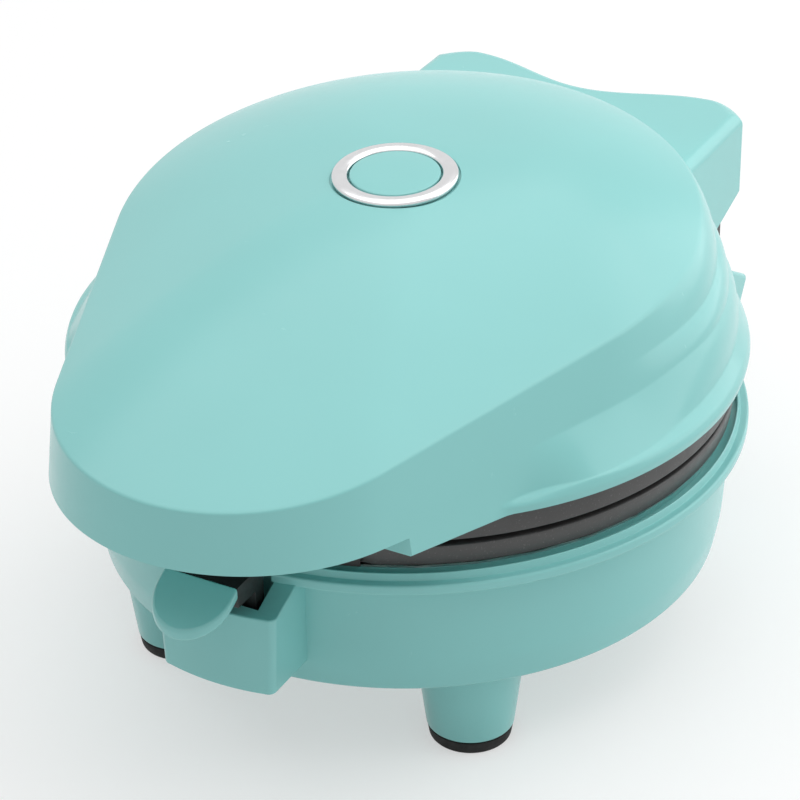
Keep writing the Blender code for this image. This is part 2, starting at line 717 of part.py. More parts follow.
def web_outline(reach, degrees):
    """A thin rib from a screw post out to the wall, as seen from above."""
    half = SCREW_SHANK_RADIUS
    turn = Matrix.Rotation(math.radians(degrees), 2)
    start = SCREW_RING + (SCREW_SHANK_RADIUS + SCREW_POST_RADIUS) / 2
    corners = [(start, -half), (reach, -half), (reach, half), (start, half)]
    return [tuple(turn @ Vector(corner)) for corner in corners]


def cover_screw_degrees():
    side = SCREW_ANGLE_DEGREES
    return (side, 180.0 - side, 180.0 + side, 360.0 - side)


def cover_top():
    return BASE_BOTTOM + COVER_RECESS + COVER_SHEET


def pocket_inner_front():
    return POCKET_FRONT_Y - POCKET_BOW + POCKET_WALL


def pocket_outline(half):
    right = [(half, POCKET_ROOT_Y)]
    corner = arc(half - POCKET_CORNER, POCKET_FRONT_Y + POCKET_CORNER, POCKET_CORNER, 0, -90, POCKET_CORNER_STEPS)
    right += corner
    for share in POCKET_BOW_SHARES:
        x = share * (half - POCKET_CORNER)
        right.append((x, POCKET_FRONT_Y - POCKET_BOW * (1 - share * share)))
    left = [(-x, y) for x, y in reversed(right) if x > 0]
    return right + left


def make_pocket_solid():
    rings = [level(pocket_outline(POCKET_HALF_LOW), POCKET_BOTTOM)]
    rings.append(level(pocket_outline(POCKET_HALF_TOP), POCKET_RIM_REAR))
    pocket = stacked("pocket_solid", rings, "aqua")
    front = POCKET_FRONT_Y - POCKET_WALL
    over = [
        (front, POCKET_RIM_FRONT),
        (pocket_inner_front(), POCKET_RIM_FRONT),
        (POCKET_BACK_Y, POCKET_RIM_REAR),
        (POCKET_BACK_Y, ABOVE_ALL),
        (front, ABOVE_ALL),
    ]
    cut(pocket, side_prism("pocket_rim_cut", over, -LIP_RADIUS, LIP_RADIUS))
    return pocket


def make_base_cover():
    bottom = BASE_BOTTOM + COVER_RECESS
    radius = BASE_BOTTOM_RADIUS - BASE_WALL - GAP
    cover = rod("base_cover", radius, bottom, cover_top(), BASE_SEGMENTS, "aqua")
    leg_profile = [
        (0, PAD_HEIGHT + GAP),
        (FOOT_LOW_RADIUS, PAD_HEIGHT + GAP),
        (FOOT_TOP_RADIUS, bottom),
        (FOOT_TOP_RADIUS, bottom + COVER_SHEET / 2),
        (0, bottom + COVER_SHEET / 2),
    ]
    for index, (x, y) in enumerate(foot_centres()):
        label = str(index + 1)
        join(cover, lathe("leg_" + label, leg_profile, ROUND_SEGMENTS, "aqua", placed(x, y, 0)))
        top = PAD_HEIGHT + PAD_STUB_HEIGHT + 2 * GAP
        hole = rod("leg_bore_" + label, PAD_STUB_RADIUS + GAP, 0, top, SMALL_SEGMENTS, None, placed(x, y, 0))
        cut(cover, hole)
    for index, degrees in enumerate(cover_screw_degrees()):
        turn = Matrix.Rotation(math.radians(degrees), 4, "Z")
        place = turn @ Matrix.Translation(Vector((SCREW_RING, 0, 0)))
        bore = SCREW_SHANK_RADIUS + GAP
        hole = rod("cover_hole_" + str(index + 1), bore, 0, LIP_TOP, SMALL_SEGMENTS, None, place)
        cut(cover, hole)
    return cover


def foot_centres():
    return [(-FOOT_X, -FOOT_Y), (FOOT_X, -FOOT_Y), (-FOOT_X, FOOT_Y), (FOOT_X, FOOT_Y)]


def make_foot_pads():
    profile = [
        (0, 0),
        (PAD_LOW_RADIUS - GAP, 0),
        (PAD_LOW_RADIUS, GAP),
        (FOOT_LOW_RADIUS, PAD_HEIGHT),
        (PAD_STUB_RADIUS, PAD_HEIGHT),
        (PAD_STUB_RADIUS, PAD_HEIGHT + PAD_STUB_HEIGHT),
        (0, PAD_HEIGHT + PAD_STUB_HEIGHT),
    ]
    words = ("front_left", "front_right", "rear_left", "rear_right")
    for word, (x, y) in zip(words, foot_centres()):
        lathe("foot_pad_" + word, profile, ROUND_SEGMENTS, "rubber", placed(x, y, 0), origin=(x, y, 0))


def screw_profile():
    return [
        (0, -SCREW_HEAD_HEIGHT),
        (SCREW_HEAD_RADIUS - 2 * GAP, -SCREW_HEAD_HEIGHT),
        (SCREW_HEAD_RADIUS, -SCREW_HEAD_HEIGHT + 2 * GAP),
        (SCREW_HEAD_RADIUS, 0),
        (SCREW_SHANK_RADIUS, 0),
        (SCREW_SHANK_RADIUS, SCREW_LENGTH),
        (0, SCREW_LENGTH + GAP),
    ]


def make_cover_screws():
    for index, degrees in enumerate(cover_screw_degrees()):
        turn = math.radians(degrees)
        spot = (SCREW_RING * math.cos(turn), SCREW_RING * math.sin(turn), BASE_BOTTOM + COVER_RECESS - GAP)
        lathe("cover_screw_" + str(index + 1), screw_profile(), SMALL_SEGMENTS, "steel", placed(*spot), origin=spot)


def make_bracket_screws(origin):
    for side, word in ((-1, "left"), (1, "right")):
        spot = (side * BRACKET_SCREW_X, BRACKET_SCREW_Y, BRACKET_PLATE_BOTTOM - GAP)
        lathe("bracket_screw_" + word, screw_profile(), SMALL_SEGMENTS, "steel", placed(*spot), origin=origin)


def plate_turns():
    """Evenly spaced angles, two of them moved to where the plate's round edge meets its flat front."""
    flat = math.degrees(math.asin(-PLATE_FLAT_Y / PLATE_RADIUS))
    step = 360.0 / PLATE_SECTIONS
    degrees = [index * step for index in range(PLATE_SECTIONS)]
    for corner in (180.0 + flat, 360.0 - flat):
        nearest = min(degrees, key=lambda value: abs(value - corner))
        degrees[degrees.index(nearest)] = corner
    return [math.radians(value) for value in degrees]


PLATE_SECTIONS = 48


def plate_ring(radius, inset, z):
    """A ring that keeps behind the flat front by the inset."""
    ring = []
    for turn in plate_turns():
        reach = radius
        if math.sin(turn) < 0:
            reach = min(radius, (PLATE_FLAT_Y + inset) / math.sin(turn))
        ring.append((reach * math.cos(turn), reach * math.sin(turn), z))
    return ring


def mirrored(points):
    """The same points on the other side of the level halfway between the base rim and the lid."""
    return [(x, y, 2 * PLATE_MIDDLE - z) for x, y, z in points]


def plate_rings():
    top = PLATE_MIDDLE - PLATE_GAP / 2
    bottom = RIM_TOP + REFLECTOR_SHEET + 2 * GAP
    floor = top - PLATE_DEPTH
    mouth = PLATE_RADIUS - PLATE_RIM_WIDTH
    band = PLATE_RADIUS - PLATE_WALL
    under = mouth + PLATE_WALL
    front_wall = PLATE_WALL - GAP
    return [
        [(0, 0, floor - PLATE_WALL)],
        plate_ring(mouth - PLATE_DRAFT + PLATE_WALL / 2, PLATE_WALL + 3 * GAP, floor - PLATE_WALL),
        plate_ring(under, front_wall + GAP, top - PLATE_WALL),
        plate_ring(band, front_wall, top - PLATE_WALL),
        plate_ring(band - PLATE_BAND_TAPER, front_wall, bottom),
        plate_ring(PLATE_RADIUS - PLATE_BAND_TAPER, 0, bottom),
        plate_ring(PLATE_RADIUS, 0, top - GAP),
        plate_ring(PLATE_RADIUS - GAP, GAP, top),
        plate_ring(mouth, PLATE_WALL + GAP, top),
        plate_ring(mouth - PLATE_DRAFT, 2 * PLATE_WALL, floor),
        [(0, 0, floor)],
    ]


def make_ridges(name, flip):
    """All the ridges of one plate as separate bars in one cutter, set a little into the plate's floor."""
    floor = PLATE_MIDDLE - PLATE_GAP / 2 - PLATE_DEPTH
    root = floor - PLATE_WALL / 2
    points = []
    faces = []
    for index in range(RIDGE_COUNT):
        x = (index - (RIDGE_COUNT - 1) / 2) * RIDGE_PITCH
        reach = math.sqrt(RIDGE_REACH ** 2 - x * x)
        foot = RIDGE_FOOT / 2
        top = RIDGE_TOP / 2
        section = [(x - foot, root), (x + foot, root), (x + top, floor + RIDGE_HEIGHT), (x - top, floor + RIDGE_HEIGHT)]
        start = len(points)
        for side in (-1, 1):
            points += [(a, side * (reach - (z - root) / 2), z) for a, z in section]
        faces.append([start, start + 1, start + 2, start + 3])
        faces.append([start + 4, start + 5, start + 6, start + 7])
        for corner in range(4):
            after = (corner + 1) % 4
            faces.append([start + corner, start + after, start + 4 + after, start + 4 + corner])
    if flip:
        points = mirrored(points)
    return make_object(name, points, faces, "plate")


def make_plate(name, flip, origin):
    rings = plate_rings()
    if flip:
        rings = [mirrored(ring) for ring in rings]
    plate = stacked(name, rings, "plate", origin=origin, smooth_degrees=20.0)
    join(plate, make_ridges(name + "_ridges", flip))
    return plate


def heater_end():
    """Where the heater's upright end stands, as a distance either side of the middle and a distance back."""
    turn = math.radians(HEATER_OPENING_DEGREES)
    x = HEATER_RING * math.sin(turn) - HEATER_BEND * math.cos(turn)
    return x, HEATER_RING * math.cos(turn) + HEATER_BEND * math.sin(turn)


def heater_height():
    return PLATE_MIDDLE - PLATE_GAP / 2 - PLATE_DEPTH - PLATE_WALL - GAP - HEATER_TUBE


def heater_path():
    height = heater_height()
    start = 90.0 + HEATER_OPENING_DEGREES
    end = 450.0 - HEATER_OPENING_DEGREES
    path = [(x, y, height) for x, y in arc(0, 0, HEATER_RING, start, end, HEATER_STEPS)]
    turn = math.radians(HEATER_OPENING_DEGREES)
    away = (-math.cos(turn), math.sin(turn))
    last = path[-1]
    tail = []
    for share in HEATER_BEND_SHARES:
        bend = share * math.pi / 2
        out = HEATER_BEND * math.sin(bend)
        tail.append((last[0] + away[0] * out, last[1] + away[1] * out, height - HEATER_BEND * (1 - math.cos(bend))))
    tail.append((tail[-1][0], tail[-1][1], tail[-1][2] - HEATER_TAIL))
    head = [(-x, y, z) for x, y, z in reversed(tail)]
    return head + path + tail


HEATER_BEND_SHARES = (0.35, 0.7, 1.0)


def make_heater(name, flip, origin):
    path = heater_path()
    if flip:
        path = mirrored(path)
    return tube(name, path, HEATER_TUBE, HEATER_SIDES, "steel", origin=origin, smooth_degrees=60.0)


def make_reflector(name, flip, origin):
    rim = RIM_TOP + GAP
    floor = rim - REFLECTOR_DEPTH
    profile = [
        (0, floor),
        (REFLECTOR_FLOOR_RADIUS + REFLECTOR_SHEET, floor),
        (REFLECTOR_MOUTH_RADIUS + REFLECTOR_SHEET, rim),
        (REFLECTOR_RIM_RADIUS, rim),
        (REFLECTOR_RIM_RADIUS, rim + REFLECTOR_SHEET),
        (REFLECTOR_MOUTH_RADIUS, rim + REFLECTOR_SHEET),
        (REFLECTOR_FLOOR_RADIUS, floor + REFLECTOR_SHEET),
        (0, floor + REFLECTOR_SHEET),
    ]
    if flip:
        profile = [(radius, 2 * PLATE_MIDDLE - z) for radius, z in profile]
    pan = lathe(name, profile, REFLECTOR_SEGMENTS, "steel", origin=origin)
    low = (-LIP_RADIUS, -LIP_RADIUS, 0)
    cut(pan, box(name + "_front_cut", low, (LIP_RADIUS, PLATE_FLAT_Y - GAP, ABOVE_ALL)))
    x, y = heater_end()
    for side, word in ((-1, "left"), (1, "right")):
        hole = rod(name + "_hole_" + word, HEATER_TUBE + GAP, 0, ABOVE_ALL, SMALL_SEGMENTS, None, placed(side * x, y, 0))
        if flip:
            low = PLATE_MIDDLE
            bpy.data.objects.remove(hole, do_unlink=True)
            place = placed(side * x, y, low)
            hole = rod(name + "_hole_" + word, HEATER_TUBE + GAP, 0, ABOVE_ALL, SMALL_SEGMENTS, None, place)
        cut(pan, hole)
    return pan


def make_latch():
    pivot = (0, LATCH_PIVOT_Y, LATCH_PIVOT_Z)
    half = POCKET_HALF_TOP - POCKET_WALL - LATCH_SIDE_GAP
    tooth_y = STRIKE_FRONT_Y - GAP
    arm_y = LATCH_ARM_REAR_Y
    hook = arc(LATCH_PIVOT_Y, LATCH_PIVOT_Z, LATCH_BOSS_RADIUS, 90, -160, 12)
    hook += [
        (LATCH_ARM_FRONT_Y, LATCH_SHELF_BOTTOM),
        (LATCH_SHELF_FRONT_Y, LATCH_SHELF_BOTTOM),
        (LATCH_SHELF_FRONT_Y, TAB_TOP),
        (LATCH_ARM_FRONT_Y, TAB_TOP),
        (LATCH_ARM_FRONT_Y, LATCH_TOP),
        (arm_y - TOOTH_EASE / 4, LATCH_TOP),
        (tooth_y, LATCH_TOP - TOOTH_EASE),
        (tooth_y, TOOTH_BOTTOM),
        (arm_y, TOOTH_BOTTOM),
    ]
    body = side_prism("latch_hook", hook, -half, half, "black", origin=pivot)
    notch_low = (-SPRING_NOTCH_HALF, LATCH_SHELF_FRONT_Y, 0)
    notch_high = (SPRING_NOTCH_HALF, POCKET_BACK_Y, SPRING_NOTCH_TOP)
    cut(body, box("spring_notch_cut", notch_low, notch_high))
    bore = LATCH_PIN_RADIUS + GAP
    cut(body, cross_rod("latch_hook_bore", bore, LATCH_PIVOT_Y, LATCH_PIVOT_Z, POCKET_HALF_TOP, SMALL_SEGMENTS))
    outline = [(-TAB_HALF, LATCH_SHELF_FRONT_Y - GAP)]
    outline += arc(0, TAB_STRAIGHT_Y, TAB_HALF, 180, 360, 18)
    outline += [(TAB_HALF, LATCH_SHELF_FRONT_Y - GAP)]
    inner = [(x * TAB_EASE_SHARE, y + (TAB_EASE if y < TAB_STRAIGHT_Y else 0)) for x, y in outline]
    low = TAB_TOP - TAB_THICKNESS
    rings = [level(inner, low), level(outline, low + TAB_EASE), level(outline, TAB_TOP - TAB_EASE)]
    rings.append(level(inner, TAB_TOP))
    stacked("latch_tab", rings, "aqua", origin=pivot)


TAB_EASE_SHARE = 0.965


def make_latch_pin_and_spring():
    pivot = (0, LATCH_PIVOT_Y, LATCH_PIVOT_Z)
    half = POCKET_HALF_TOP - POCKET_WALL / 2
    cross_rod("latch_pin", LATCH_PIN_RADIUS, LATCH_PIVOT_Y, LATCH_PIVOT_Z, half, SMALL_SEGMENTS, "steel", origin=pivot)
    steps = SPRING_TURNS * SPRING_STEPS_PER_TURN
    front = LATCH_PIVOT_Y - SPRING_COIL_RADIUS
    rear = LATCH_PIVOT_Y + SPRING_COIL_RADIUS
    path = [(-SPRING_HALF, front, SPRING_NOTCH_TOP - 2 * SPRING_WIRE)]
    for step in range(steps + SPRING_STEPS_PER_TURN // 2 + 1):
        turn = math.pi - math.tau * step / SPRING_STEPS_PER_TURN
        x = blend(-SPRING_HALF, SPRING_HALF, step / (steps + SPRING_STEPS_PER_TURN // 2))
        y = LATCH_PIVOT_Y + SPRING_COIL_RADIUS * math.cos(turn)
        path.append((x, y, LATCH_PIVOT_Z - SPRING_COIL_RADIUS * math.sin(turn)))
    path.append((SPRING_HALF, rear, POCKET_BOTTOM + POCKET_FLOOR + 2 * SPRING_WIRE))
    tube("latch_spring", path, SPRING_WIRE, WIRE_SIDES, "steel", origin=pivot, smooth_degrees=75.0)
    return front


SPRING_STEPS_PER_TURN = 8


def make_strike(origin):
    reach = math.degrees(math.acos((-PLATE_FLAT_Y + 2 * GAP) / STRIKE_RADIUS))
    outline = arc(0, 0, STRIKE_RADIUS, -90 - reach, -90 + reach, 12)
    top = LID_UNDERSIDE - GAP
    strike = upright_prism("lid_strike", outline, STRIKE_BOTTOM, top, "black", origin=origin)
    low = (-STRIKE_HALF, STRIKE_FRONT_Y, STRIKE_LEDGE_BOTTOM)
    high = (STRIKE_HALF, PLATE_FLAT_Y - STRIKE_HALF / 2, STRIKE_LEDGE_TOP)
    join(strike, box("strike_ledge", low, high, "black"))
    return strike


def make_hinge_bracket(origin):
    front_y = TAIL_INNER_START_Y + GAP
    low = (-ARM_OUTER, front_y, BRACKET_PLATE_BOTTOM)
    high = (ARM_OUTER, BRACKET_PLATE_REAR_Y, BRACKET_PLATE_TOP)
    bracket = box("hinge_bracket", low, high, "grey", origin=origin)
    arm = [(ARM_REAR_Y, BRACKET_PLATE_BOTTOM + GAP), (front_y + GAP, BRACKET_PLATE_BOTTOM + GAP)]
    arm = [(HINGE_Y - ARM_RADIUS, BRACKET_PLATE_TOP - GAP)] + arc(HINGE_Y, HINGE_Z, ARM_RADIUS, 180, 360, 10)
    arm += [(ARM_REAR_Y, BRACKET_PLATE_TOP - GAP)]
    for side, word in ((-1, "left"), (1, "right")):
        near = side * (EAR_OUTER + GAP)
        far = side * ARM_OUTER
        ends = sorted((near, far))
        join(bracket, side_prism("bracket_arm_" + word, arm, *ends, "grey"))
    bore = HINGE_PIN_RADIUS + GAP
    cut(bracket, cross_rod("bracket_bore_cut", bore, HINGE_Y, HINGE_Z, BLOCK_HALF, SMALL_SEGMENTS))
    for side, word in ((-1, "left"), (1, "right")):
        place = placed(side * BRACKET_SCREW_X, BRACKET_SCREW_Y, 0)
        hole = SCREW_SHANK_RADIUS + GAP
        cut(bracket, rod("bracket_hole_" + word, hole, HINGE_Z, TAIL_TOP, SMALL_SEGMENTS, None, place))
    return bracket


def make_badge(origin):
    ring = [
        (BADGE_INNER, -BADGE_DEPTH + GAP),
        (BADGE_OUTER, -BADGE_DEPTH + GAP),
        (BADGE_OUTER, 0),
        (BADGE_OUTER - GAP, BADGE_STAND),
        (BADGE_INNER + GAP, BADGE_STAND),
        (BADGE_INNER, 0),
    ]
    lathe("badge_ring", ring, BADGE_SEGMENTS, "chrome", badge_place(), origin=origin)
    radius = BADGE_INNER - GAP
    disc = [
        (0, -BADGE_DEPTH + GAP),
        (radius, -BADGE_DEPTH + GAP),
        (radius, 0),
        (radius - GAP, DISC_STAND),
        (0, DISC_STAND + GAP / 2),
    ]
    lathe("badge_disc", disc, BADGE_SEGMENTS, "aqua", badge_place(), origin=origin)


def make_inside_pieces():
    floor = RIM_TOP + GAP - REFLECTOR_DEPTH
    low = floor - GAP - THERMOSTAT_HEIGHT
    rod("thermostat", THERMOSTAT_RADIUS, low, floor - GAP, ROUND_SEGMENTS, "black")
    height = floor - GAP - FUSE_RADIUS
    fuse = placed(0, FUSE_X, height, 0, 90.0)
    rod("thermal_fuse", FUSE_RADIUS, -FUSE_HALF, FUSE_HALF, SMALL_SEGMENTS, "steel", fuse)
    top = INLET_Z + INLET_FLANGE_RADIUS
    share = (top - BASE_BELLY_HEIGHT) / (LIP_UNDERSIDE - BASE_BELLY_HEIGHT)
    seat = blend(BASE_BELLY_RADIUS, WALL_TOP_RADIUS, share) + GAP
    inner = seat - 2 * BASE_WALL
    ring = [
        (INLET_BORE, inner),
        (INLET_RADIUS, inner),
        (INLET_RADIUS, seat),
        (INLET_FLANGE_RADIUS, seat),
        (INLET_FLANGE_RADIUS, seat + INLET_FLANGE),
        (INLET_BORE, seat + INLET_FLANGE),
    ]
    lathe("cord_inlet", ring, ROUND_SEGMENTS, "rubber", placed(0, 0, INLET_Z, -90.0))
    half = ARM_OUTER - GAP
    spot = (0, HINGE_Y, HINGE_Z)
    cross_rod("hinge_pin", HINGE_PIN_RADIUS, HINGE_Y, HINGE_Z, half, SMALL_SEGMENTS, "steel", origin=spot)


def main():
    clear_scene()
    make_materials()
    hinge = (0, HINGE_Y, HINGE_Z)
    make_base_shell()
    make_base_cover()
    make_foot_pads()
    make_cover_screws()
    make_plate("lower_plate", False, (0, 0, 0))
    make_reflector("lower_reflector", False, (0, 0, 0))
    make_heater("lower_heater", False, (0, 0, 0))
    make_inside_pieces()
    make_latch()
    make_latch_pin_and_spring()
    make_lid_shell()
    make_strike(hinge)
    make_plate("upper_plate", True, hinge)
    make_reflector("upper_reflector", True, hinge)
    make_heater("upper_heater", True, hinge)
    make_hinge_bracket(hinge)
    make_bracket_screws(hinge)
    make_badge(hinge)


main()
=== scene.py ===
"""Looks of the small contact grill: aqua shells, dark plates, latch and hinge, dressed on the CAD frame.

Shapes are drawn about the upright axis of the round grill plates and moved along Y into the frame.
"""
import bisect
import math

import bmesh
import bpy
from mathutils import Matrix, Vector


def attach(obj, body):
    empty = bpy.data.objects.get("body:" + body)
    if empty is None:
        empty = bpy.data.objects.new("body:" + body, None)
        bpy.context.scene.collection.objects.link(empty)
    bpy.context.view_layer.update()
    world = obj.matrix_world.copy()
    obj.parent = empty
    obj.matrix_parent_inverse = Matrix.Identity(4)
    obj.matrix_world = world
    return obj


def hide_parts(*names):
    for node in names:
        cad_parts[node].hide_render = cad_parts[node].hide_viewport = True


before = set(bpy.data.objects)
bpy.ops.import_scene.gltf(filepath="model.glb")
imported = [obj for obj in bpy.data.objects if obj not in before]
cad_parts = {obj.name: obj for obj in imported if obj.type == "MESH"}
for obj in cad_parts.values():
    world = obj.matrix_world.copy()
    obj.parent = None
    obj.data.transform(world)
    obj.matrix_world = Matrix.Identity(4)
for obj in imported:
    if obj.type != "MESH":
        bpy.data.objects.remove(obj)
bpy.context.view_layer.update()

# What all pieces share
GAP = 0.0003
SIDES = ((-1, "left"), (1, "right"))

# Base shell, from the table up
PAD_HEIGHT = 0.0026
BASE_BOTTOM = 0.0189
BASE_BOTTOM_RADIUS = 0.0597
BASE_BELLY_HEIGHT = 0.0249
BASE_BELLY_RADIUS = 0.0608
WALL_TOP_RADIUS = 0.0620
LIP_UNDERSIDE = 0.0429
LIP_RADIUS = 0.0650
LIP_TOP = 0.0450
LIP_SHOULDER_RADIUS = 0.0634
RIM_CREST_RADIUS = 0.0630
RIM_INNER_RADIUS = 0.0627
RIM_CREST = 0.0463
CHANNEL_FLOOR = 0.0447
CHANNEL_INNER_RADIUS = 0.0607
RIM_TOP = 0.0460
RIM_OPENING = 0.0590
BASE_WALL = 0.0023

# Lid shell
LID_UNDERSIDE = 0.0574
FLANGE_RADIUS = 0.0647
FLANGE_EASE = 0.0003
FLANGE_WIDEST_HEIGHT = 0.0591
FLANGE_SHOULDER_RADIUS = 0.0642
FLANGE_SHOULDER_HEIGHT = 0.0606
LOW_CREASE_RADIUS = 0.0622
LOW_CREASE_HEIGHT = 0.0626
LOW_CREASE_SLOPE_SHARE = 0.072
LOW_CREASE_START_RADIUS = 0.0641
LOW_CREASE_START_HEIGHT = 0.0609
MIDDLE_CREASE_RADIUS = 0.0601
MIDDLE_CREASE_HEIGHT = 0.0717
HIGH_CREASE_RADIUS = 0.0577
HIGH_CREASE_HEIGHT = 0.0752
HIGH_CREASE_SLOPE_SHARE = 0.089
TOP_EDGE_RADIUS = 0.0546
TOP_EDGE_HEIGHT = 0.0825
TOP_EDGE_SLOPE_SHARE = 0.115
NOSE_TOP_RADIUS = 0.0348
NOSE_TOP_Y = -0.0556
SKIRT_RADIUS = 0.0604
NOSE_SKIRT_RADIUS = 0.0367
NOSE_SKIRT_Y = -0.0553
CROWN_Y = 0.0095
CROWN_HEIGHT = 0.0942
LID_WALL = 0.0022
NOSE_UNDERSIDE = 0.0610
NOSE_STEP_Y = -0.0650
LID_OPENING = 0.0580

# Grill plates and what is stacked behind each of them
PLATE_RADIUS = 0.0622
PLATE_BAND_TAPER = 0.0004
PLATE_GAP = 0.0009
PLATE_WALL = 0.0016
PLATE_RIM_WIDTH = 0.0062
PLATE_DEPTH = 0.0045
PLATE_DRAFT = 0.0022
PLATE_FLAT_Y = -0.0572
RIDGE_HEIGHT = 0.0020
RIDGE_FOOT = 0.0030
RIDGE_TOP = 0.0014
RIDGE_PITCH = 0.0100
RIDGE_COUNT = 9
RIDGE_REACH = 0.0485
REFLECTOR_SHEET = 0.0004
HEATER_TUBE = 0.0030
HEATER_RING = 0.0360
HEATER_OPENING_DEGREES = 22.0
HEATER_BEND = 0.0050
HEATER_TAIL = 0.0055

# Feet
FOOT_X = 0.0317
FOOT_Y = 0.0356
FOOT_TOP_RADIUS = 0.0101
FOOT_LOW_RADIUS = 0.0082
PAD_LOW_RADIUS = 0.0076
PAD_STUB_RADIUS = 0.0040
PAD_STUB_HEIGHT = 0.0040
COVER_SHEET = 0.0022
COVER_RECESS = 0.0004

# Screws
SCREW_HEAD_RADIUS = 0.0026
SCREW_HEAD_HEIGHT = 0.0015
SCREW_SHANK_RADIUS = 0.0013
SCREW_LENGTH = 0.0080
SCREW_POST_RADIUS = 0.0036
SCREW_RING = 0.0532
SCREW_ANGLE_DEGREES = 20.0

# Latch pocket on the front of the base
POCKET_HALF_LOW = 0.0114
POCKET_HALF_TOP = 0.0123
POCKET_FRONT_Y = -0.0720
POCKET_BOW = 0.0011
POCKET_CORNER = 0.0016
POCKET_BOTTOM = 0.0243
POCKET_RIM_FRONT = 0.0405
POCKET_RIM_REAR = 0.0444
POCKET_WALL = 0.0032
POCKET_SIDE_WALL = 0.0045
POCKET_FLOOR = 0.0022
POCKET_BACK_Y = -0.0618
POCKET_ROOT_Y = -0.0560

# Latch
LATCH_PIVOT_Y = -0.0662
LATCH_PIVOT_Z = 0.0360
LATCH_PIN_RADIUS = 0.0012
LATCH_BOSS_RADIUS = 0.0030
LATCH_SIDE_GAP = 0.0007
LATCH_ARM_FRONT_Y = -0.0690
LATCH_ARM_REAR_Y = -0.0662
LATCH_SHELF_FRONT_Y = -0.0747
LATCH_SHELF_BOTTOM = 0.0436
LATCH_SHELF_TOP = 0.0478
LATCH_TOP = 0.0556
TOOTH_BOTTOM = 0.0533
TOOTH_EASE = 0.0012
TAB_HALF = 0.0075
TAB_REAR_Y = -0.0750
TAB_STRAIGHT_Y = -0.0772
TAB_REAR_TOP = 0.0482
TAB_SLOPE = 0.525
TAB_THICKNESS = 0.0022
SPRING_WIRE = 0.0004
SPRING_COIL_RADIUS = 0.0022
SPRING_TURNS = 4
SPRING_HALF = 0.0028
SPRING_NOTCH_HALF = 0.0040
SPRING_NOTCH_TOP = 0.0405
STRIKE_BOTTOM = 0.0466
STRIKE_RADIUS = 0.0618
STRIKE_FRONT_Y = -0.0643
STRIKE_LEDGE_BOTTOM = 0.0503
STRIKE_LEDGE_TOP = 0.0530
STRIKE_HALF = 0.0060

# Hinge
HINGE_Y = 0.0714
HINGE_Z = 0.0483
HINGE_PIN_RADIUS = 0.0015
EAR_RADIUS = 0.0040
EAR_INNER = 0.0170
EAR_OUTER = 0.0252
ARM_RADIUS = 0.0038
ARM_OUTER = 0.0323
ARM_REAR_Y = 0.0751
BLOCK_HALF = 0.0358
BLOCK_TOP = 0.0444
BLOCK_TOP_REAR_Y = 0.0754
BLOCK_REAR_Y = 0.0832
BLOCK_REAR_TOP = 0.0399
BLOCK_LOW_Y = 0.0790
BLOCK_LOW_Z = 0.0330
BLOCK_FOOT_Y = 0.0620
BLOCK_FOOT_Z = 0.0312
BLOCK_START_Y = 0.0500
BLOCK_HOLLOW_HALF = 0.0225
SLOT_FLOOR = 0.0425

# Tail of the lid, over the hinge
TAIL_HALF = 0.0348
TAIL_TOP = 0.0788
TAIL_SIDE_END_Y = 0.0784
TAIL_CORNER_MIDDLE_X = 0.0312
TAIL_CORNER_MIDDLE_Y = 0.0830
TAIL_CORNER_X = 0.0265
TAIL_CORNER_Y = 0.0832
TAIL_DIP_Y = 0.0768
TAIL_START_Y = 0.0400
TAIL_ROUND = 0.0026
TAIL_LOW_Y = 0.0680
TAIL_LOW_Z = 0.0580
TAIL_HIGH_Y = 0.0809
TAIL_HIGH_Z = 0.0622
TAIL_INNER_START_Y = 0.0668
BRACKET_PLATE_BOTTOM = 0.0612
BRACKET_PLATE_TOP = 0.0632
BRACKET_PLATE_REAR_Y = 0.0740
BRACKET_SCREW_X = 0.0120
BRACKET_SCREW_Y = 0.0712

# Badge ring set in the crown
BADGE_Y = -0.0037
BADGE_Z = 0.0939
BADGE_TILT_DEGREES = 2.6
BADGE_OUTER = 0.0117
BADGE_INNER = 0.0087
BADGE_DEPTH = 0.0010
BADGE_STAND = 0.0004
DISC_STAND = 0.0002

# Cord inlet
INLET_Z = 0.0262
INLET_RADIUS = 0.0033

# Derived sizes that several pieces share
PLATE_MIDDLE = (RIM_TOP + LID_UNDERSIDE) / 2
NOSE_TIP_Y = NOSE_SKIRT_Y - NOSE_SKIRT_RADIUS
AXIS_SHIFT = -(NOSE_TIP_Y + TAIL_CORNER_Y) / 2
ABOVE_ALL = CROWN_HEIGHT + LIP_RADIUS

# Where creases fade and what rounds the small shapes
LOW_CREASE_FADE_DEGREES = (-47.0, -31.0)
LOW_CREASE_SETTLE_DEGREES = (-38.0, -8.0)
MIDDLE_CREASE_FADE_DEGREES = (-20.0, 8.0)
HIGH_CREASE_FADE_DEGREES = (-16.0, 12.0)
CROWN_FADE_DEGREES = (-20.0, 70.0)
CROWN_POWER_FRONT = 2.1
CROWN_POWER_REAR = 3.2
TAIL_CORNER_SHARES = tuple(step / 12 for step in range(1, 13))
TAIL_DIP_SHARES = tuple(step / 24 for step in range(1, 25))
POCKET_CORNER_STEPS = 8
POCKET_BOW_SHARES = tuple(1 - step / 8 for step in range(1, 9))
EAR_FOOT_SHARES = (-0.62, 0.62)
POCKET_EDGE = 0.0004
LOW_CREASE_PLACE_SHARE = 0.13
MIDDLE_CREASE_PLACE_SHARE = 0.50
HIGH_CREASE_PLACE_SHARE = 0.74
TAIL_ROUND_STEPS = 8
TAIL_FRONT_RADIUS = 0.0563
RIDGE_END_STEPS = 6
HEATER_BEND_STEPS = 8
SPRING_STEPS = 24
BLOCK_ROUND = 0.0012
TAB_SOFT_EDGE = 0.0006

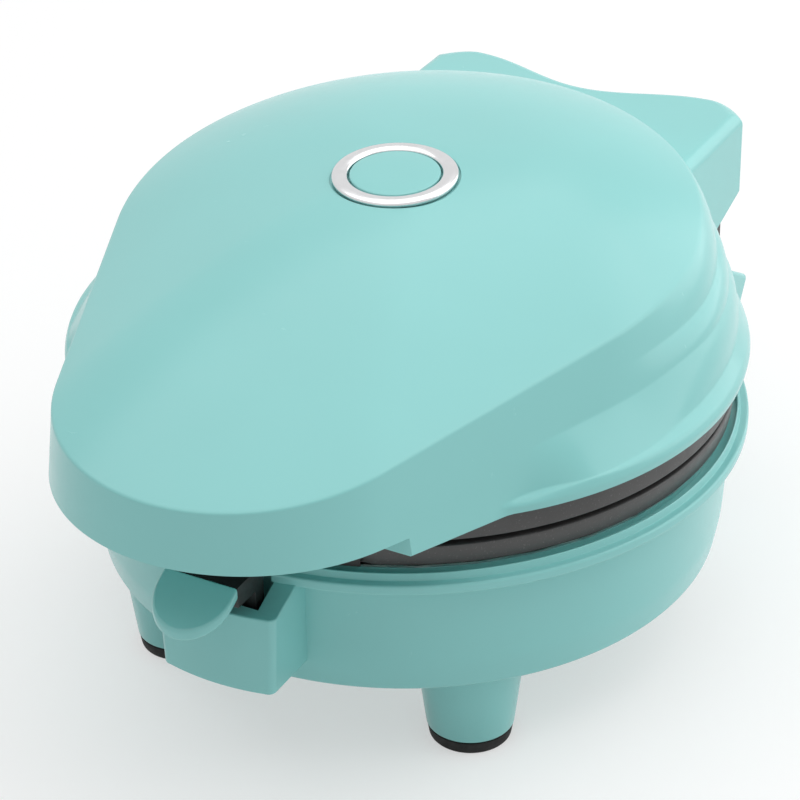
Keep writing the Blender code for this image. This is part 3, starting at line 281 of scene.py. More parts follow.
# Smooth outlines: how finely each shape is drawn
LID_TURN_SPANS = ((-90.0, -60.0, 56), (-60.0, 0.0, 52), (0.0, 90.0, 60))
BAND_STEPS = 7
CORNER_STEPS = 4
BAND_CONTROL = (0.90, 0.35)
TOP_BAND_CONTROL = (0.80, 0.36)
CROWN_SHARES = (0.955, 0.92, 0.88, 0.83, 0.78, 0.72, 0.66, 0.60, 0.54)
SEAT_SHARES = tuple(step / 12 for step in range(1, 12))
INNER_SHARES = (0.90, 0.65, 0.30)
FLANGE_CORNER = 0.0005
SHOULDER_CORNER = 0.0006
CREASE_CORNER = 0.0003
TOP_CORNER = 0.0007
SEAT_CORNER = 0.00025
LATHE_TURNS = 240
SMALL_TURNS = 64
EDGE = 0.0003
FINE_EDGE = 0.00015
LEG_BLEND = 0.0009

# Where shading breaks and bevels start
SHARP_DEGREES = 34.0
TAIL_DEGREES = 28.0
MOULDED_DEGREES = 30.0
PAD_DEGREES = 45.0
ROUND_DEGREES = 50.0
BAR_DEGREES = 60.0
BEVEL_DEGREES = 40.0
BLOCK_BEVEL_DEGREES = 60.0
ROUND_BEVEL_DEGREES = 50.0

# Small arcs, counts, shares and seeds
BROAD_FACE_WEIGHT = 80
SAME_PLACE = 1e-7
EAR_ARC_DEGREES = (10.0, 170.0)
HOOK_ARC_DEGREES = (90.0, -160.0)
HOOK_ARC_STEPS = 32
SMALL_ARC_STEPS = 28
STRIKE_ARC_STEPS = 48
TAB_ARC_STEPS = 72
HEATER_ARC_STEPS = 120
BAR_SIDES = 32
COIL_SIDES = 12
HEAD_FLAT_SHARE = 0.62
CROSS_ARM_SHARE = 0.58
CROSS_SLOT_SHARE = 0.13
SCREW_SEED = 5
PAD_SEED = 2

# Finishes, as linear colours
AQUA_COLOUR = (0.262, 0.640, 0.622)
PLATE_COLOUR = (0.052, 0.050, 0.050)
GREY_COLOUR = (0.065, 0.062, 0.062)
BLACK_COLOUR = (0.012, 0.012, 0.012)
RUBBER_COLOUR = (0.016, 0.016, 0.016)
STEEL_COLOUR = (0.62, 0.62, 0.61)
SHEATH_COLOUR = (0.42, 0.40, 0.37)
BROWN_COLOUR = (0.34, 0.27, 0.19)
SHEET_COLOUR = (0.74, 0.74, 0.73)
CHROME_COLOUR = (0.681, 0.681, 0.689)
FINISHES = {}

# The photograph's view, the room and the lamps
CAMERA_SPOT = (0.233634, -0.421181, 0.333222)
CAMERA_AXES = (
    (0.879024, 0.476563, -0.014286),
    (-0.233267, 0.456009, 0.858861),
    (-0.415816, 0.751627, -0.512009),
)
CAMERA_LENS = 132.393
CAMERA_SENSOR = 36.0
CAMERA_NEAR = 0.01
CAMERA_FAR = 20.0
FLOOR_HALF = 3.0
FLOOR_COLOUR = (0.80, 0.80, 0.80)
FLOOR_SEEN = (0.5, 0.5, 0.5)
FLOOR_GLOW = 0.5
FLOOR_SQUARES = 8
FLOOR_ROUGHNESS = 0.9
WHITE = (1.0, 1.0, 1.0, 1.0)
ROOM_STRENGTH = 0.42
LAMPS = (
    ("overhead_softbox", (-0.15, 0.10, 2.00), (0.0, 0.0, 0.05), 3.0, 3.0, 28.0),
    ("rear_softbox", (0.75, 0.75, 0.55), (0.0, 0.0, 0.06), 1.5, 1.5, 9.0),
)


def blend(start, end, share):
    return start + (end - start) * share


def ease(value, start, end):
    """0 before start, 1 after end and a smooth rise between them."""
    share = min(max((value - start) / (end - start), 0.0), 1.0)
    return share * share * (3.0 - 2.0 * share)


def arc(centre_x, centre_y, radius, first, last, steps):
    """Points of an arc between two angles in degrees, both ends included."""
    turns = [math.radians(blend(first, last, step / steps)) for step in range(steps + 1)]
    return [(centre_x + radius * math.cos(turn), centre_y + radius * math.sin(turn)) for turn in turns]


def level(outline, z):
    return [(x, y, z) for x, y in outline]


def placed(x, y, z, turn_x_degrees=0.0, turn_y_degrees=0.0):
    turn = Matrix.Rotation(math.radians(turn_x_degrees), 4, "X")
    lean = Matrix.Rotation(math.radians(turn_y_degrees), 4, "Y")
    return Matrix.Translation(Vector((x, y, z))) @ turn @ lean


def badge_place():
    return placed(0, BADGE_Y, BADGE_Z, BADGE_TILT_DEGREES)


def pear_radius(turn, big, small, centre_y):
    """Distance from the axis to the taut outline round a big circle and a small one before it."""
    tangent = -math.asin((big - small) / -centre_y)
    lean = math.asin(math.sin(turn))
    nose = math.atan2(centre_y + small * math.sin(tangent), small * math.cos(tangent))
    if lean >= tangent:
        return big
    if lean >= nose:
        return big / math.cos(lean - tangent)
    across = centre_y * math.cos(turn)
    return centre_y * math.sin(turn) + math.sqrt(small * small - across * across)


def loose(name, mesh):
    obj = bpy.data.objects.new(name, mesh)
    bpy.context.scene.collection.objects.link(obj)
    return obj


def drop(*objects):
    for obj in objects:
        bpy.data.objects.remove(obj, do_unlink=True)


def new_object(name, points, edges, faces):
    """A mesh object drawn about the plates' axis, with its object at the origin."""
    mesh = bpy.data.meshes.new(name)
    mesh.from_pydata([Vector(point) + Vector((0, AXIS_SHIFT, 0)) for point in points], edges, faces)
    build = bmesh.new()
    build.from_mesh(mesh)
    bmesh.ops.recalc_face_normals(build, faces=build.faces)
    build.to_mesh(mesh)
    build.free()
    return loose(name, mesh)


def stacked(name, rings, closed=False):
    """A surface through rings of equal count; a ring of one point is a pole, a closed one has no ends."""
    points = []
    rows = []
    count = max(len(ring) for ring in rings)
    for ring in rings:
        start = len(points)
        rows.append([start] * count if len(ring) == 1 else list(range(start, start + count)))
        points.extend(ring)
    faces = []
    for lower, upper in zip(rows, rows[1:] + rows[:1] if closed else rows[1:]):
        for step in range(count):
            after = (step + 1) % count
            loop = list(dict.fromkeys([lower[step], lower[after], upper[after], upper[step]]))
            if len(loop) > 2:
                faces.append(loop)
    if not closed:
        faces += [end for end in (rows[0], rows[-1]) if end[0] != end[1]]
    return new_object(name, points, [], faces)


def filleted(corners, steps=CORNER_STEPS, closed=False):
    """Rounds the corners of a line: each corner is a point and how far back from it the rounding starts."""
    line = []
    count = len(corners)
    for index, (point, back) in enumerate(corners):
        here = Vector(point)
        if back == 0 or (not closed and index in (0, count - 1)):
            line.append(here)
            continue
        before = Vector(corners[index - 1][0]) - here
        after = Vector(corners[(index + 1) % count][0]) - here
        start = here + before.normalized() * min(back, before.length / 2)
        end = here + after.normalized() * min(back, after.length / 2)
        for step in range(steps + 1):
            share = step / steps
            line.append(start.lerp(here, share).lerp(here.lerp(end, share), share))
    return line


def lathe(name, corners, turns, place=None):
    """Turns an outline of (radius, height, rounding) corners about the upright axis, then places it."""
    place = place or Matrix.Identity(4)
    closed = corners[0][0] > 0
    line = filleted([((radius, height), back) for radius, height, back in corners], closed=closed)
    angles = [math.tau * step / turns for step in range(turns)]
    rings = []
    for radius, height in line:
        ring = [(radius * math.cos(angle), radius * math.sin(angle), height) for angle in angles]
        if radius < SAME_PLACE:
            ring = [(0, 0, height)]
        rings.append([place @ Vector(point) for point in ring])
    return stacked(name, rings, closed)


def upright_prism(name, outline, low, high):
    return stacked(name, [level(outline, low), level(outline, high)])


def side_prism(name, outline, left, right):
    """Extrudes an outline of (y, z) pairs along X."""
    return stacked(name, [[(x, y, z) for y, z in outline] for x in (left, right)])


def block(name, low, high):
    corners = [(low[0], low[1]), (high[0], low[1]), (high[0], high[1]), (low[0], high[1])]
    return upright_prism(name, corners, low[2], high[2])


def rod(name, radius, low, high, turns, place=None):
    return lathe(name, [(0, low, 0), (radius, low, 0), (radius, high, 0), (0, high, 0)], turns, place)


def cross_rod(name, radius, y, z, half, turns):
    return rod(name, radius, -half, half, turns, placed(0, y, z, 0, 90.0))


def combine(obj, other, operation):
    modifier = obj.modifiers.new(operation.lower(), "BOOLEAN")
    modifier.operation = operation
    modifier.solver = "EXACT"
    modifier.object = other
    other.hide_render = True


def cut(obj, *others):
    for other in others:
        combine(obj, other, "DIFFERENCE")


def join(obj, *others):
    for other in others:
        combine(obj, other, "UNION")


def soften(obj, width=EDGE, segments=3, degrees=BEVEL_DEGREES):
    """Rounds every edge that turns by more than the given angle."""
    bevel = obj.modifiers.new("soft_edges", "BEVEL")
    bevel.width = width
    bevel.segments = segments
    bevel.limit_method = "ANGLE"
    bevel.angle_limit = math.radians(degrees)
    bevel.use_clamp_overlap = True
    return obj


def helpers_of(obj):
    found = []
    for modifier in obj.modifiers:
        if modifier.type == "BOOLEAN":
            found += [modifier.object] + helpers_of(modifier.object)
    return found


def settle(obj):
    """Turns an object's modifiers into a plain mesh and removes its cutters."""
    helpers = helpers_of(obj)
    graph = bpy.context.evaluated_depsgraph_get()
    mesh = bpy.data.meshes.new_from_object(obj.evaluated_get(graph))
    obj.modifiers.clear()
    obj.data = mesh
    drop(*helpers)
    return obj


def shade(obj, degrees=SHARP_DEGREES, weighted=True):
    """Smooth shading that stops at edges sharper than the given angle, with broad faces kept flat."""
    build = bmesh.new()
    build.from_mesh(obj.data)
    bmesh.ops.remove_doubles(build, verts=build.verts, dist=SAME_PLACE)
    bmesh.ops.dissolve_degenerate(build, edges=build.edges, dist=SAME_PLACE)
    limit = math.radians(degrees)
    for edge in build.edges:
        edge.smooth = edge.calc_face_angle(0) < limit
    for face in build.faces:
        face.smooth = True
    build.to_mesh(obj.data)
    build.free()
    if weighted:
        normals = obj.modifiers.new("broad_faces_first", "WEIGHTED_NORMAL")
        normals.keep_sharp = True
        normals.weight = BROAD_FACE_WEIGHT
        settle(obj)
    return obj


def dress(obj, finish, body, slot, *nodes):
    """Gives a finished piece its material, its body and the CAD nodes that it stands for; its slot is not
    used.
    """
    obj.data.materials.clear()
    obj.data.materials.append(finish)
    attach(obj, body)
    if nodes:
        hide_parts(*nodes)
    return obj


# The lid

def lid_turns():
    right = []
    for first, last, steps in LID_TURN_SPANS:
        right.extend(blend(first, last, step / steps) for step in range(steps))
    left = [180.0 - degrees for degrees in reversed(right[1:])]
    return [math.radians(degrees) for degrees in right + [90.0] + left]


def polar(turn, pair):
    return Vector((pair[0] * math.cos(turn), pair[0] * math.sin(turn), pair[1]))


def band(upper, lower, curve_share, control=BAND_CONTROL):
    """Points down a convex band between two creases, straight where the creases have faded."""
    points = []
    for step in range(1, BAND_STEPS):
        share = step / BAND_STEPS
        out = 2 * share * (1 - share) * control[0] + share * share
        down = 2 * share * (1 - share) * control[1] + share * share
        even = (out + down) / 2
        out = blend(even, out, curve_share)
        down = blend(even, down, curve_share)
        points.append((blend(upper[0], lower[0], out), blend(upper[1], lower[1], down)))
    return points


def lid_side(turn):
    """Corners of the lid's side at one angle, from the underside to the top edge, each with its rounding."""
    lean = math.degrees(math.asin(math.sin(turn)))
    low_share = ease(lean, *LOW_CREASE_FADE_DEGREES)
    middle_share = ease(lean, *MIDDLE_CREASE_FADE_DEGREES)
    high_share = ease(lean, *HIGH_CREASE_FADE_DEGREES)
    top_radius = pear_radius(turn, TOP_EDGE_RADIUS, NOSE_TOP_RADIUS, NOSE_TOP_Y)
    top = (top_radius, TOP_EDGE_HEIGHT + TOP_EDGE_SLOPE_SHARE * top_radius * math.sin(turn))
    skirt_radius = pear_radius(turn, SKIRT_RADIUS, NOSE_SKIRT_RADIUS, NOSE_SKIRT_Y)

    def wall(share):
        return (blend(skirt_radius, top[0], share), blend(LID_UNDERSIDE, top[1], share))

    def crease(share, plain_share, radius, height):
        """A crease between two bands, or a point of the plain straight wall where the crease has faded."""
        plain = wall(plain_share)
        return (blend(plain[0], radius, share), blend(plain[1], height, share))

    settled = ease(lean, *LOW_CREASE_SETTLE_DEGREES)
    low_radius = blend(LOW_CREASE_START_RADIUS, LOW_CREASE_RADIUS, settled)
    low_height = LOW_CREASE_HEIGHT + LOW_CREASE_SLOPE_SHARE * LOW_CREASE_RADIUS * math.sin(turn)
    low_height = blend(LOW_CREASE_START_HEIGHT, low_height, settled)
    low = crease(low_share, LOW_CREASE_PLACE_SHARE, low_radius, low_height)
    middle = crease(middle_share, MIDDLE_CREASE_PLACE_SHARE, MIDDLE_CREASE_RADIUS, MIDDLE_CREASE_HEIGHT)
    high_height = HIGH_CREASE_HEIGHT + HIGH_CREASE_SLOPE_SHARE * HIGH_CREASE_RADIUS * math.sin(turn)
    high = crease(high_share, HIGH_CREASE_PLACE_SHARE, HIGH_CREASE_RADIUS, high_height)
    bottom = (max(FLANGE_RADIUS - FLANGE_EASE, skirt_radius), LID_UNDERSIDE)
    widest = (max(FLANGE_RADIUS, skirt_radius), FLANGE_WIDEST_HEIGHT)
    if skirt_radius > FLANGE_RADIUS:
        widest = wall((FLANGE_WIDEST_HEIGHT - LID_UNDERSIDE) / (top[1] - LID_UNDERSIDE))
    plain_shoulder = [(a + b) / 2 for a, b in zip(low, widest)]
    full_shoulder = (FLANGE_SHOULDER_RADIUS, FLANGE_SHOULDER_HEIGHT)
    shoulder = tuple(blend(a, b, low_share) for a, b in zip(plain_shoulder, full_shoulder))
    corners = [(bottom, FLANGE_CORNER), (widest, FLANGE_CORNER)]
    corners += [(shoulder, SHOULDER_CORNER), (low, CREASE_CORNER)]
    corners += [(pair, 0) for pair in reversed(band(middle, low, middle_share))]
    corners.append((middle, CREASE_CORNER))
    corners += [(pair, 0) for pair in reversed(band(high, middle, middle_share))]
    corners.append((high, CREASE_CORNER))
    corners += [(pair, 0) for pair in reversed(band(top, high, high_share, TOP_BAND_CONTROL))]
    corners.append((top, TOP_CORNER))
    return corners


def crown_power(turn):
    lean = math.degrees(math.asin(math.sin(turn)))
    return blend(CROWN_POWER_FRONT, CROWN_POWER_REAR, ease(lean, *CROWN_FADE_DEGREES))


def crown_point(turn, share, inset=0.0):
    """A point of the lid's top: share 1 on its edge and 0 at the middle of the crown."""
    radius = pear_radius(turn, TOP_EDGE_RADIUS, NOSE_TOP_RADIUS, NOSE_TOP_Y)
    edge_height = TOP_EDGE_HEIGHT + TOP_EDGE_SLOPE_SHARE * radius * math.sin(turn)
    radius -= inset
    x = radius * math.cos(turn) * share
    y = blend(CROWN_Y, radius * math.sin(turn), share)
    return Vector((x, y, blend(CROWN_HEIGHT, edge_height, share ** crown_power(turn)) - inset))


class Crown:
    """Height of the lid's top at any spot of its plan."""

    def __init__(self, turns):
        self.rows = []
        for turn in turns:
            edge = crown_point(turn, 1.0)
            about = math.atan2(edge.y - CROWN_Y, edge.x)
            reach = math.hypot(edge.x, edge.y - CROWN_Y)
            self.rows.append((about, reach, edge.z, crown_power(turn)))
        self.rows.sort()
        first, last = self.rows[0], self.rows[-1]
        self.rows = [(last[0] - math.tau, *last[1:])] + self.rows + [(first[0] + math.tau, *first[1:])]
        self.angles = [row[0] for row in self.rows]

    def height(self, x, y):
        about = math.atan2(y - CROWN_Y, x)
        after = min(max(bisect.bisect_right(self.angles, about), 1), len(self.rows) - 1)
        lower, upper = self.rows[after - 1], self.rows[after]
        share = (about - lower[0]) / (upper[0] - lower[0])
        reach, edge, power = (blend(a, b, share) for a, b in zip(lower[1:], upper[1:]))
        away = math.hypot(x, y - CROWN_Y) / reach
        return blend(CROWN_HEIGHT, edge, away ** power)


def make_lid_dome():
    """The lid's moulding: nose, flange, three convex bands, crown with a round seat, and a hollow inside."""
    turns = lid_turns()
    crown = Crown(turns)
    seat = BADGE_OUTER + GAP
    place = badge_place()
    floor = NOSE_UNDERSIDE + LID_WALL
    columns = []
    for turn in turns:
        side = lid_side(turn)
        corners = [(polar(turn, (LID_OPENING, LID_UNDERSIDE)), FINE_EDGE)]
        corners += [(polar(turn, pair), back) for pair, back in side]
        corners += [(crown_point(turn, share), 0) for share in CROWN_SHARES]
        inner_edge = crown_point(turn, CROWN_SHARES[-1])
        rim = place @ Vector((seat * math.cos(turn), seat * math.sin(turn), 0))
        for share in SEAT_SHARES + (1.0,):
            x, y = blend(inner_edge.x, rim.x, share), blend(inner_edge.y, rim.y, share)
            corners.append((Vector((x, y, crown.height(x, y))), SEAT_CORNER if share == 1.0 else 0))
        sunk = place @ Vector((seat * math.cos(turn), seat * math.sin(turn), -BADGE_DEPTH))
        middle_wall = side[4 + BAND_STEPS - 1][0]
        high_wall = side[4 + 2 * BAND_STEPS - 1][0]
        inside = [crown_point(turn, share, LID_WALL) for share in reversed(INNER_SHARES)]
        inside.append(crown_point(turn, 1.0, LID_WALL))
        inside += [polar(turn, (pair[0] - LID_WALL, pair[1])) for pair in (high_wall, middle_wall)]
        inside.append(polar(turn, (side[3][0][0] - LID_WALL, floor)))
        inside.append(polar(turn, (LID_OPENING, floor)))
        columns.append(inside + filleted([(inside[-1], 0)] + corners + [(sunk, 0)])[1:])
    rings = [list(ring) for ring in zip(*columns)]
    rings.insert(0, [Vector((0, CROWN_Y, CROWN_HEIGHT - LID_WALL))])
    rings.append([place @ Vector((0, 0, -BADGE_DEPTH))])
    dome = stacked("lid_dome", rings)
    low = (-LIP_RADIUS, NOSE_TIP_Y - LID_WALL, 0)
    cut(dome, block("nose_under_cut", low, (LIP_RADIUS, NOSE_STEP_Y, NOSE_UNDERSIDE)))
    shade(settle(dome), SHARP_DEGREES, weighted=False)
    return dress(dome, FINISHES["aqua"], "lid", "aqua_shell", "lid_shell")


def tail_outline(inset=0.0, start_y=TAIL_START_Y):
    """Plan of the tail: straight sides, rounded rear corners and a rear edge that dips in the middle."""
    half = TAIL_HALF - inset
    side_y = TAIL_SIDE_END_Y - inset
    corner_y = TAIL_CORNER_Y - inset
    right = [(half, start_y), (half, side_y)]
    middle = (TAIL_CORNER_MIDDLE_X - inset, TAIL_CORNER_MIDDLE_Y - inset)
    for share in TAIL_CORNER_SHARES:
        first = [blend(a, b, share) for a, b in zip((half, side_y), middle)]
        second = [blend(a, b, share) for a, b in zip(middle, (TAIL_CORNER_X, corner_y))]
        right.append(tuple(blend(a, b, share) for a, b in zip(first, second)))
    for share in TAIL_DIP_SHARES:
        depth = (1 - math.cos(math.pi * share)) / 2
        right.append((TAIL_CORNER_X * (1 - share), blend(corner_y, TAIL_DIP_Y - inset, depth)))
    left = [(-x, y) for x, y in reversed(right) if x > 0]
    return right + left


def make_lid_tail():
    """The tail over the hinge, hollow below, with the two posts that take the bracket's screws."""
    edge_z = TAIL_TOP - TAIL_ROUND
    rings = [level(tail_outline(), LID_UNDERSIDE - LID_WALL), level(tail_outline(), edge_z)]
    for step in range(1, TAIL_ROUND_STEPS + 1):
        turn = math.pi / 2 * step / TAIL_ROUND_STEPS
        inset = TAIL_ROUND * (1 - math.cos(turn))
        rings.append(level(tail_outline(inset), edge_z + TAIL_ROUND * math.sin(turn)))
    tail = stacked("lid_tail", rings)
    slope = (TAIL_HIGH_Z - TAIL_LOW_Z) / (TAIL_HIGH_Y - TAIL_LOW_Y)
    far_y = TAIL_CORNER_Y + LID_WALL
    near_y = TAIL_START_Y - LID_WALL
    under = [(near_y, TAIL_LOW_Z + slope * (near_y - TAIL_LOW_Y)), (near_y, 0), (far_y, 0)]
    under.append((far_y, TAIL_LOW_Z + slope * (far_y - TAIL_LOW_Y)))
    cut(tail, side_prism("tail_under_cut", under, -LIP_RADIUS, LIP_RADIUS))
    cut(tail, rod("tail_front_cut", TAIL_FRONT_RADIUS, 0, ABOVE_ALL, LATHE_TURNS))
    floor = NOSE_UNDERSIDE + LID_WALL
    hollow = upright_prism("tail_hollow_cut", tail_outline(LID_WALL), floor, TAIL_TOP - LID_WALL)
    for side, word in SIDES:
        spot = placed(side * BRACKET_SCREW_X, BRACKET_SCREW_Y, 0)
        cut(hollow, make_post("tail_post_" + word, BRACKET_PLATE_TOP - GAP, TAIL_TOP, spot))
    mouth = tail_outline(LID_WALL, TAIL_INNER_START_Y)
    cut(tail, upright_prism("tail_mouth_cut", mouth, 0, floor + GAP), hollow)
    shade(settle(tail), TAIL_DEGREES)
    return dress(tail, FINISHES["aqua"], "lid", "aqua_shell")


def make_post(name, bottom, top, place):
    """A round post with a blind bore for a screw, open at the bottom."""
    bore = SCREW_SHANK_RADIUS + GAP
    deep = bottom + SCREW_LENGTH
    corners = [(bore, bottom, 0), (SCREW_POST_RADIUS, bottom, 0), (SCREW_POST_RADIUS, top, 0), (0, top, 0)]
    corners += [(0, deep, 0), (bore, deep, 0)]
    return lathe(name, corners, SMALL_TURNS, place)


def make_badge():
    """The chrome ring in the crown and the disc that it surrounds."""
    place = badge_place()
    low = -BADGE_DEPTH + GAP
    ring = [
        (BADGE_INNER, low, FINE_EDGE),
        (BADGE_OUTER, low, FINE_EDGE),
        (BADGE_OUTER, BADGE_STAND - FINE_EDGE, 2 * EDGE),
        ((BADGE_INNER + BADGE_OUTER) / 2, BADGE_STAND + FINE_EDGE, 3 * EDGE),
        (BADGE_INNER, BADGE_STAND - FINE_EDGE, 2 * EDGE),
    ]
    ring_piece = lathe("badge_trim_ring", ring, LATHE_TURNS // 2, place)
    shade(ring_piece, ROUND_DEGREES, weighted=False)
    dress(ring_piece, FINISHES["chrome"], "lid", "chrome_trim", "badge_ring")
    radius = BADGE_INNER - GAP
    disc = [(0, low, 0), (radius, low, FINE_EDGE), (radius, DISC_STAND, EDGE)]
    disc += [(radius / 2, DISC_STAND + FINE_EDGE / 3, EDGE), (0, DISC_STAND + FINE_EDGE / 2, 0)]
    disc_piece = shade(lathe("badge_cap_disc", disc, LATHE_TURNS // 2, place), ROUND_DEGREES, weighted=False)
    dress(disc_piece, FINISHES["aqua"], "lid", "aqua_shell", "badge_disc")


# The base

def pocket_outline(half):
    right = [(half, POCKET_ROOT_Y)]
    corner = (half - POCKET_CORNER, POCKET_FRONT_Y + POCKET_CORNER)
    right += arc(*corner, POCKET_CORNER, 0, -90, POCKET_CORNER_STEPS)
    for share in POCKET_BOW_SHARES:
        right.append((share * (half - POCKET_CORNER), POCKET_FRONT_Y - POCKET_BOW * (1 - share * share)))
    left = [(-x, y) for x, y in reversed(right) if x > 0]
    return right + left


def pocket_inner_front():
    return POCKET_FRONT_Y - POCKET_BOW + POCKET_WALL


def make_pocket():
    """The pocket that the latch stands in, tapering downwards, with a softened rim and floor."""
    rings = [level(pocket_outline(POCKET_HALF_LOW), POCKET_BOTTOM)]
    rings.append(level(pocket_outline(POCKET_HALF_TOP), POCKET_RIM_REAR))
    pocket = stacked("latch_pocket_solid", rings)
    front = POCKET_FRONT_Y - POCKET_WALL
    over = [(front, POCKET_RIM_FRONT), (pocket_inner_front(), POCKET_RIM_FRONT)]
    over += [(POCKET_BACK_Y, POCKET_RIM_REAR), (POCKET_BACK_Y, ABOVE_ALL), (front, ABOVE_ALL)]
    cut(pocket, side_prism("pocket_rim_cut", over, -LIP_RADIUS, LIP_RADIUS))
    cut(pocket, pocket_cavity("pocket_cavity_first", 0))
    soften(pocket, POCKET_EDGE, 3, ROUND_BEVEL_DEGREES)
    return pocket


def pocket_cavity(name, more):
    half = POCKET_HALF_TOP - POCKET_SIDE_WALL - more
    low = (-half, pocket_inner_front() + more, POCKET_BOTTOM + POCKET_FLOOR + more)
    return block(name, low, (half, POCKET_BACK_Y, ABOVE_ALL))


def make_base_body():
    """The base's moulding: a tapering wall under a rolled lip, the latch pocket and the hinge block."""
    profile = [
        (0, BASE_BOTTOM, 0),
        (BASE_BOTTOM_RADIUS, BASE_BOTTOM, 3 * EDGE),
        (BASE_BELLY_RADIUS, BASE_BELLY_HEIGHT, 4 * EDGE),
        (WALL_TOP_RADIUS, LIP_UNDERSIDE, 2 * EDGE),
        (LIP_RADIUS, LIP_UNDERSIDE, 2 * EDGE),
        (LIP_RADIUS, LIP_TOP, 2 * EDGE),
        (LIP_SHOULDER_RADIUS, LIP_TOP, FINE_EDGE),
        (RIM_CREST_RADIUS, RIM_CREST, FINE_EDGE),
        (RIM_INNER_RADIUS, RIM_CREST, FINE_EDGE),
        (RIM_INNER_RADIUS, CHANNEL_FLOOR, 0),
        (CHANNEL_INNER_RADIUS, CHANNEL_FLOOR, 0),
        (CHANNEL_INNER_RADIUS, RIM_TOP, FINE_EDGE),
        (0, RIM_TOP, 0),
    ]
    base = lathe("base_body", profile, LATHE_TURNS)
    join(base, make_pocket())
    outline = filleted(
        [
            ((BLOCK_START_Y, BLOCK_TOP), 0),
            ((BLOCK_TOP_REAR_Y, BLOCK_TOP), BLOCK_ROUND),
            ((BLOCK_REAR_Y, BLOCK_REAR_TOP), BLOCK_ROUND),
            ((BLOCK_LOW_Y, BLOCK_LOW_Z), BLOCK_ROUND),
            ((BLOCK_FOOT_Y, BLOCK_FOOT_Z), 0),
            ((BLOCK_START_Y, BLOCK_FOOT_Z), 0),
        ]
    )
    solid_block = side_prism("hinge_block_solid", outline, -BLOCK_HALF, BLOCK_HALF)
    join(base, soften(solid_block, 3 * EDGE, 4, BLOCK_BEVEL_DEGREES))
    foot_z = BLOCK_TOP - BASE_WALL / 2
    ear = [(HINGE_Y + 2 * EAR_RADIUS * share, foot_z) for share in EAR_FOOT_SHARES]
    ear += arc(HINGE_Y, HINGE_Z, EAR_RADIUS, *EAR_ARC_DEGREES, SMALL_ARC_STEPS)
    for side, word in SIDES:
        ends = sorted((side * EAR_INNER, side * (EAR_OUTER + GAP)))
        join(base, side_prism("hinge_ear_" + word, ear, *ends))
    hollow = [
        (0, RIM_TOP + LIP_RADIUS, 0),
        (RIM_OPENING, RIM_TOP + LIP_RADIUS, 0),
        (RIM_OPENING, LIP_UNDERSIDE, 0),
        (WALL_TOP_RADIUS - BASE_WALL, LIP_UNDERSIDE - BASE_WALL, 0),
        (BASE_BELLY_RADIUS - BASE_WALL, BASE_BELLY_HEIGHT, 0),
        (BASE_BOTTOM_RADIUS - BASE_WALL, BASE_BOTTOM, 0),
        (BASE_BOTTOM_RADIUS - BASE_WALL, 0, 0),
        (0, 0, 0),
    ]
    cut(base, lathe("base_hollow_cut", hollow, LATHE_TURNS))
    inside = [
        (BLOCK_START_Y, BLOCK_TOP - BASE_WALL),
        (BLOCK_TOP_REAR_Y - BASE_WALL, BLOCK_TOP - BASE_WALL),
        (BLOCK_LOW_Y - BASE_WALL, BLOCK_REAR_TOP - BASE_WALL),
        (BLOCK_LOW_Y - 2 * BASE_WALL, BLOCK_LOW_Z + BASE_WALL),
        (BLOCK_FOOT_Y, BLOCK_FOOT_Z + BASE_WALL),
        (BLOCK_START_Y, BLOCK_FOOT_Z + BASE_WALL),
    ]
    cut(base, side_prism("hinge_block_hollow_cut", inside, -BLOCK_HOLLOW_HALF, BLOCK_HOLLOW_HALF))
    cut(base, pocket_cavity("pocket_cavity_cut", FINE_EDGE))
    for side, word in SIDES:
        near, far = side * EAR_OUTER, side * (ARM_OUTER + GAP)
        low = (min(near, far), LIP_RADIUS, SLOT_FLOOR)
        cut(base, block("arm_slot_cut_" + word, low, (max(near, far), BLOCK_REAR_Y + BASE_WALL, ABOVE_ALL)))
    pin = HINGE_PIN_RADIUS + GAP
    cut(base, cross_rod("hinge_bore_cut", pin, HINGE_Y, HINGE_Z, ARM_OUTER, SMALL_TURNS))
    half = POCKET_HALF_TOP - POCKET_SIDE_WALL / 2 + GAP
    pin = LATCH_PIN_RADIUS + GAP
    cut(base, cross_rod("latch_bore_cut", pin, LATCH_PIVOT_Y, LATCH_PIVOT_Z, half, SMALL_TURNS))
    near = BASE_BOTTOM_RADIUS - 2 * BASE_WALL
    far = WALL_TOP_RADIUS + BASE_WALL
    place = placed(0, 0, INLET_Z, -90.0)
    cut(base, rod("inlet_hole_cut", INLET_RADIUS + GAP, near, far, SMALL_TURNS, place))
    shade(settle(base), MOULDED_DEGREES)
    return dress(base, FINISHES["aqua"], "base", "aqua_shell", "base_shell")


def foot_centres():
    return [(-FOOT_X, -FOOT_Y), (FOOT_X, -FOOT_Y), (-FOOT_X, FOOT_Y), (FOOT_X, FOOT_Y)]


def cover_screw_centres():
    side = SCREW_ANGLE_DEGREES
    turns = [math.radians(value) for value in (side, 180.0 - side, 180.0 + side, 360.0 - side)]
    return [(SCREW_RING * math.cos(turn), SCREW_RING * math.sin(turn)) for turn in turns]


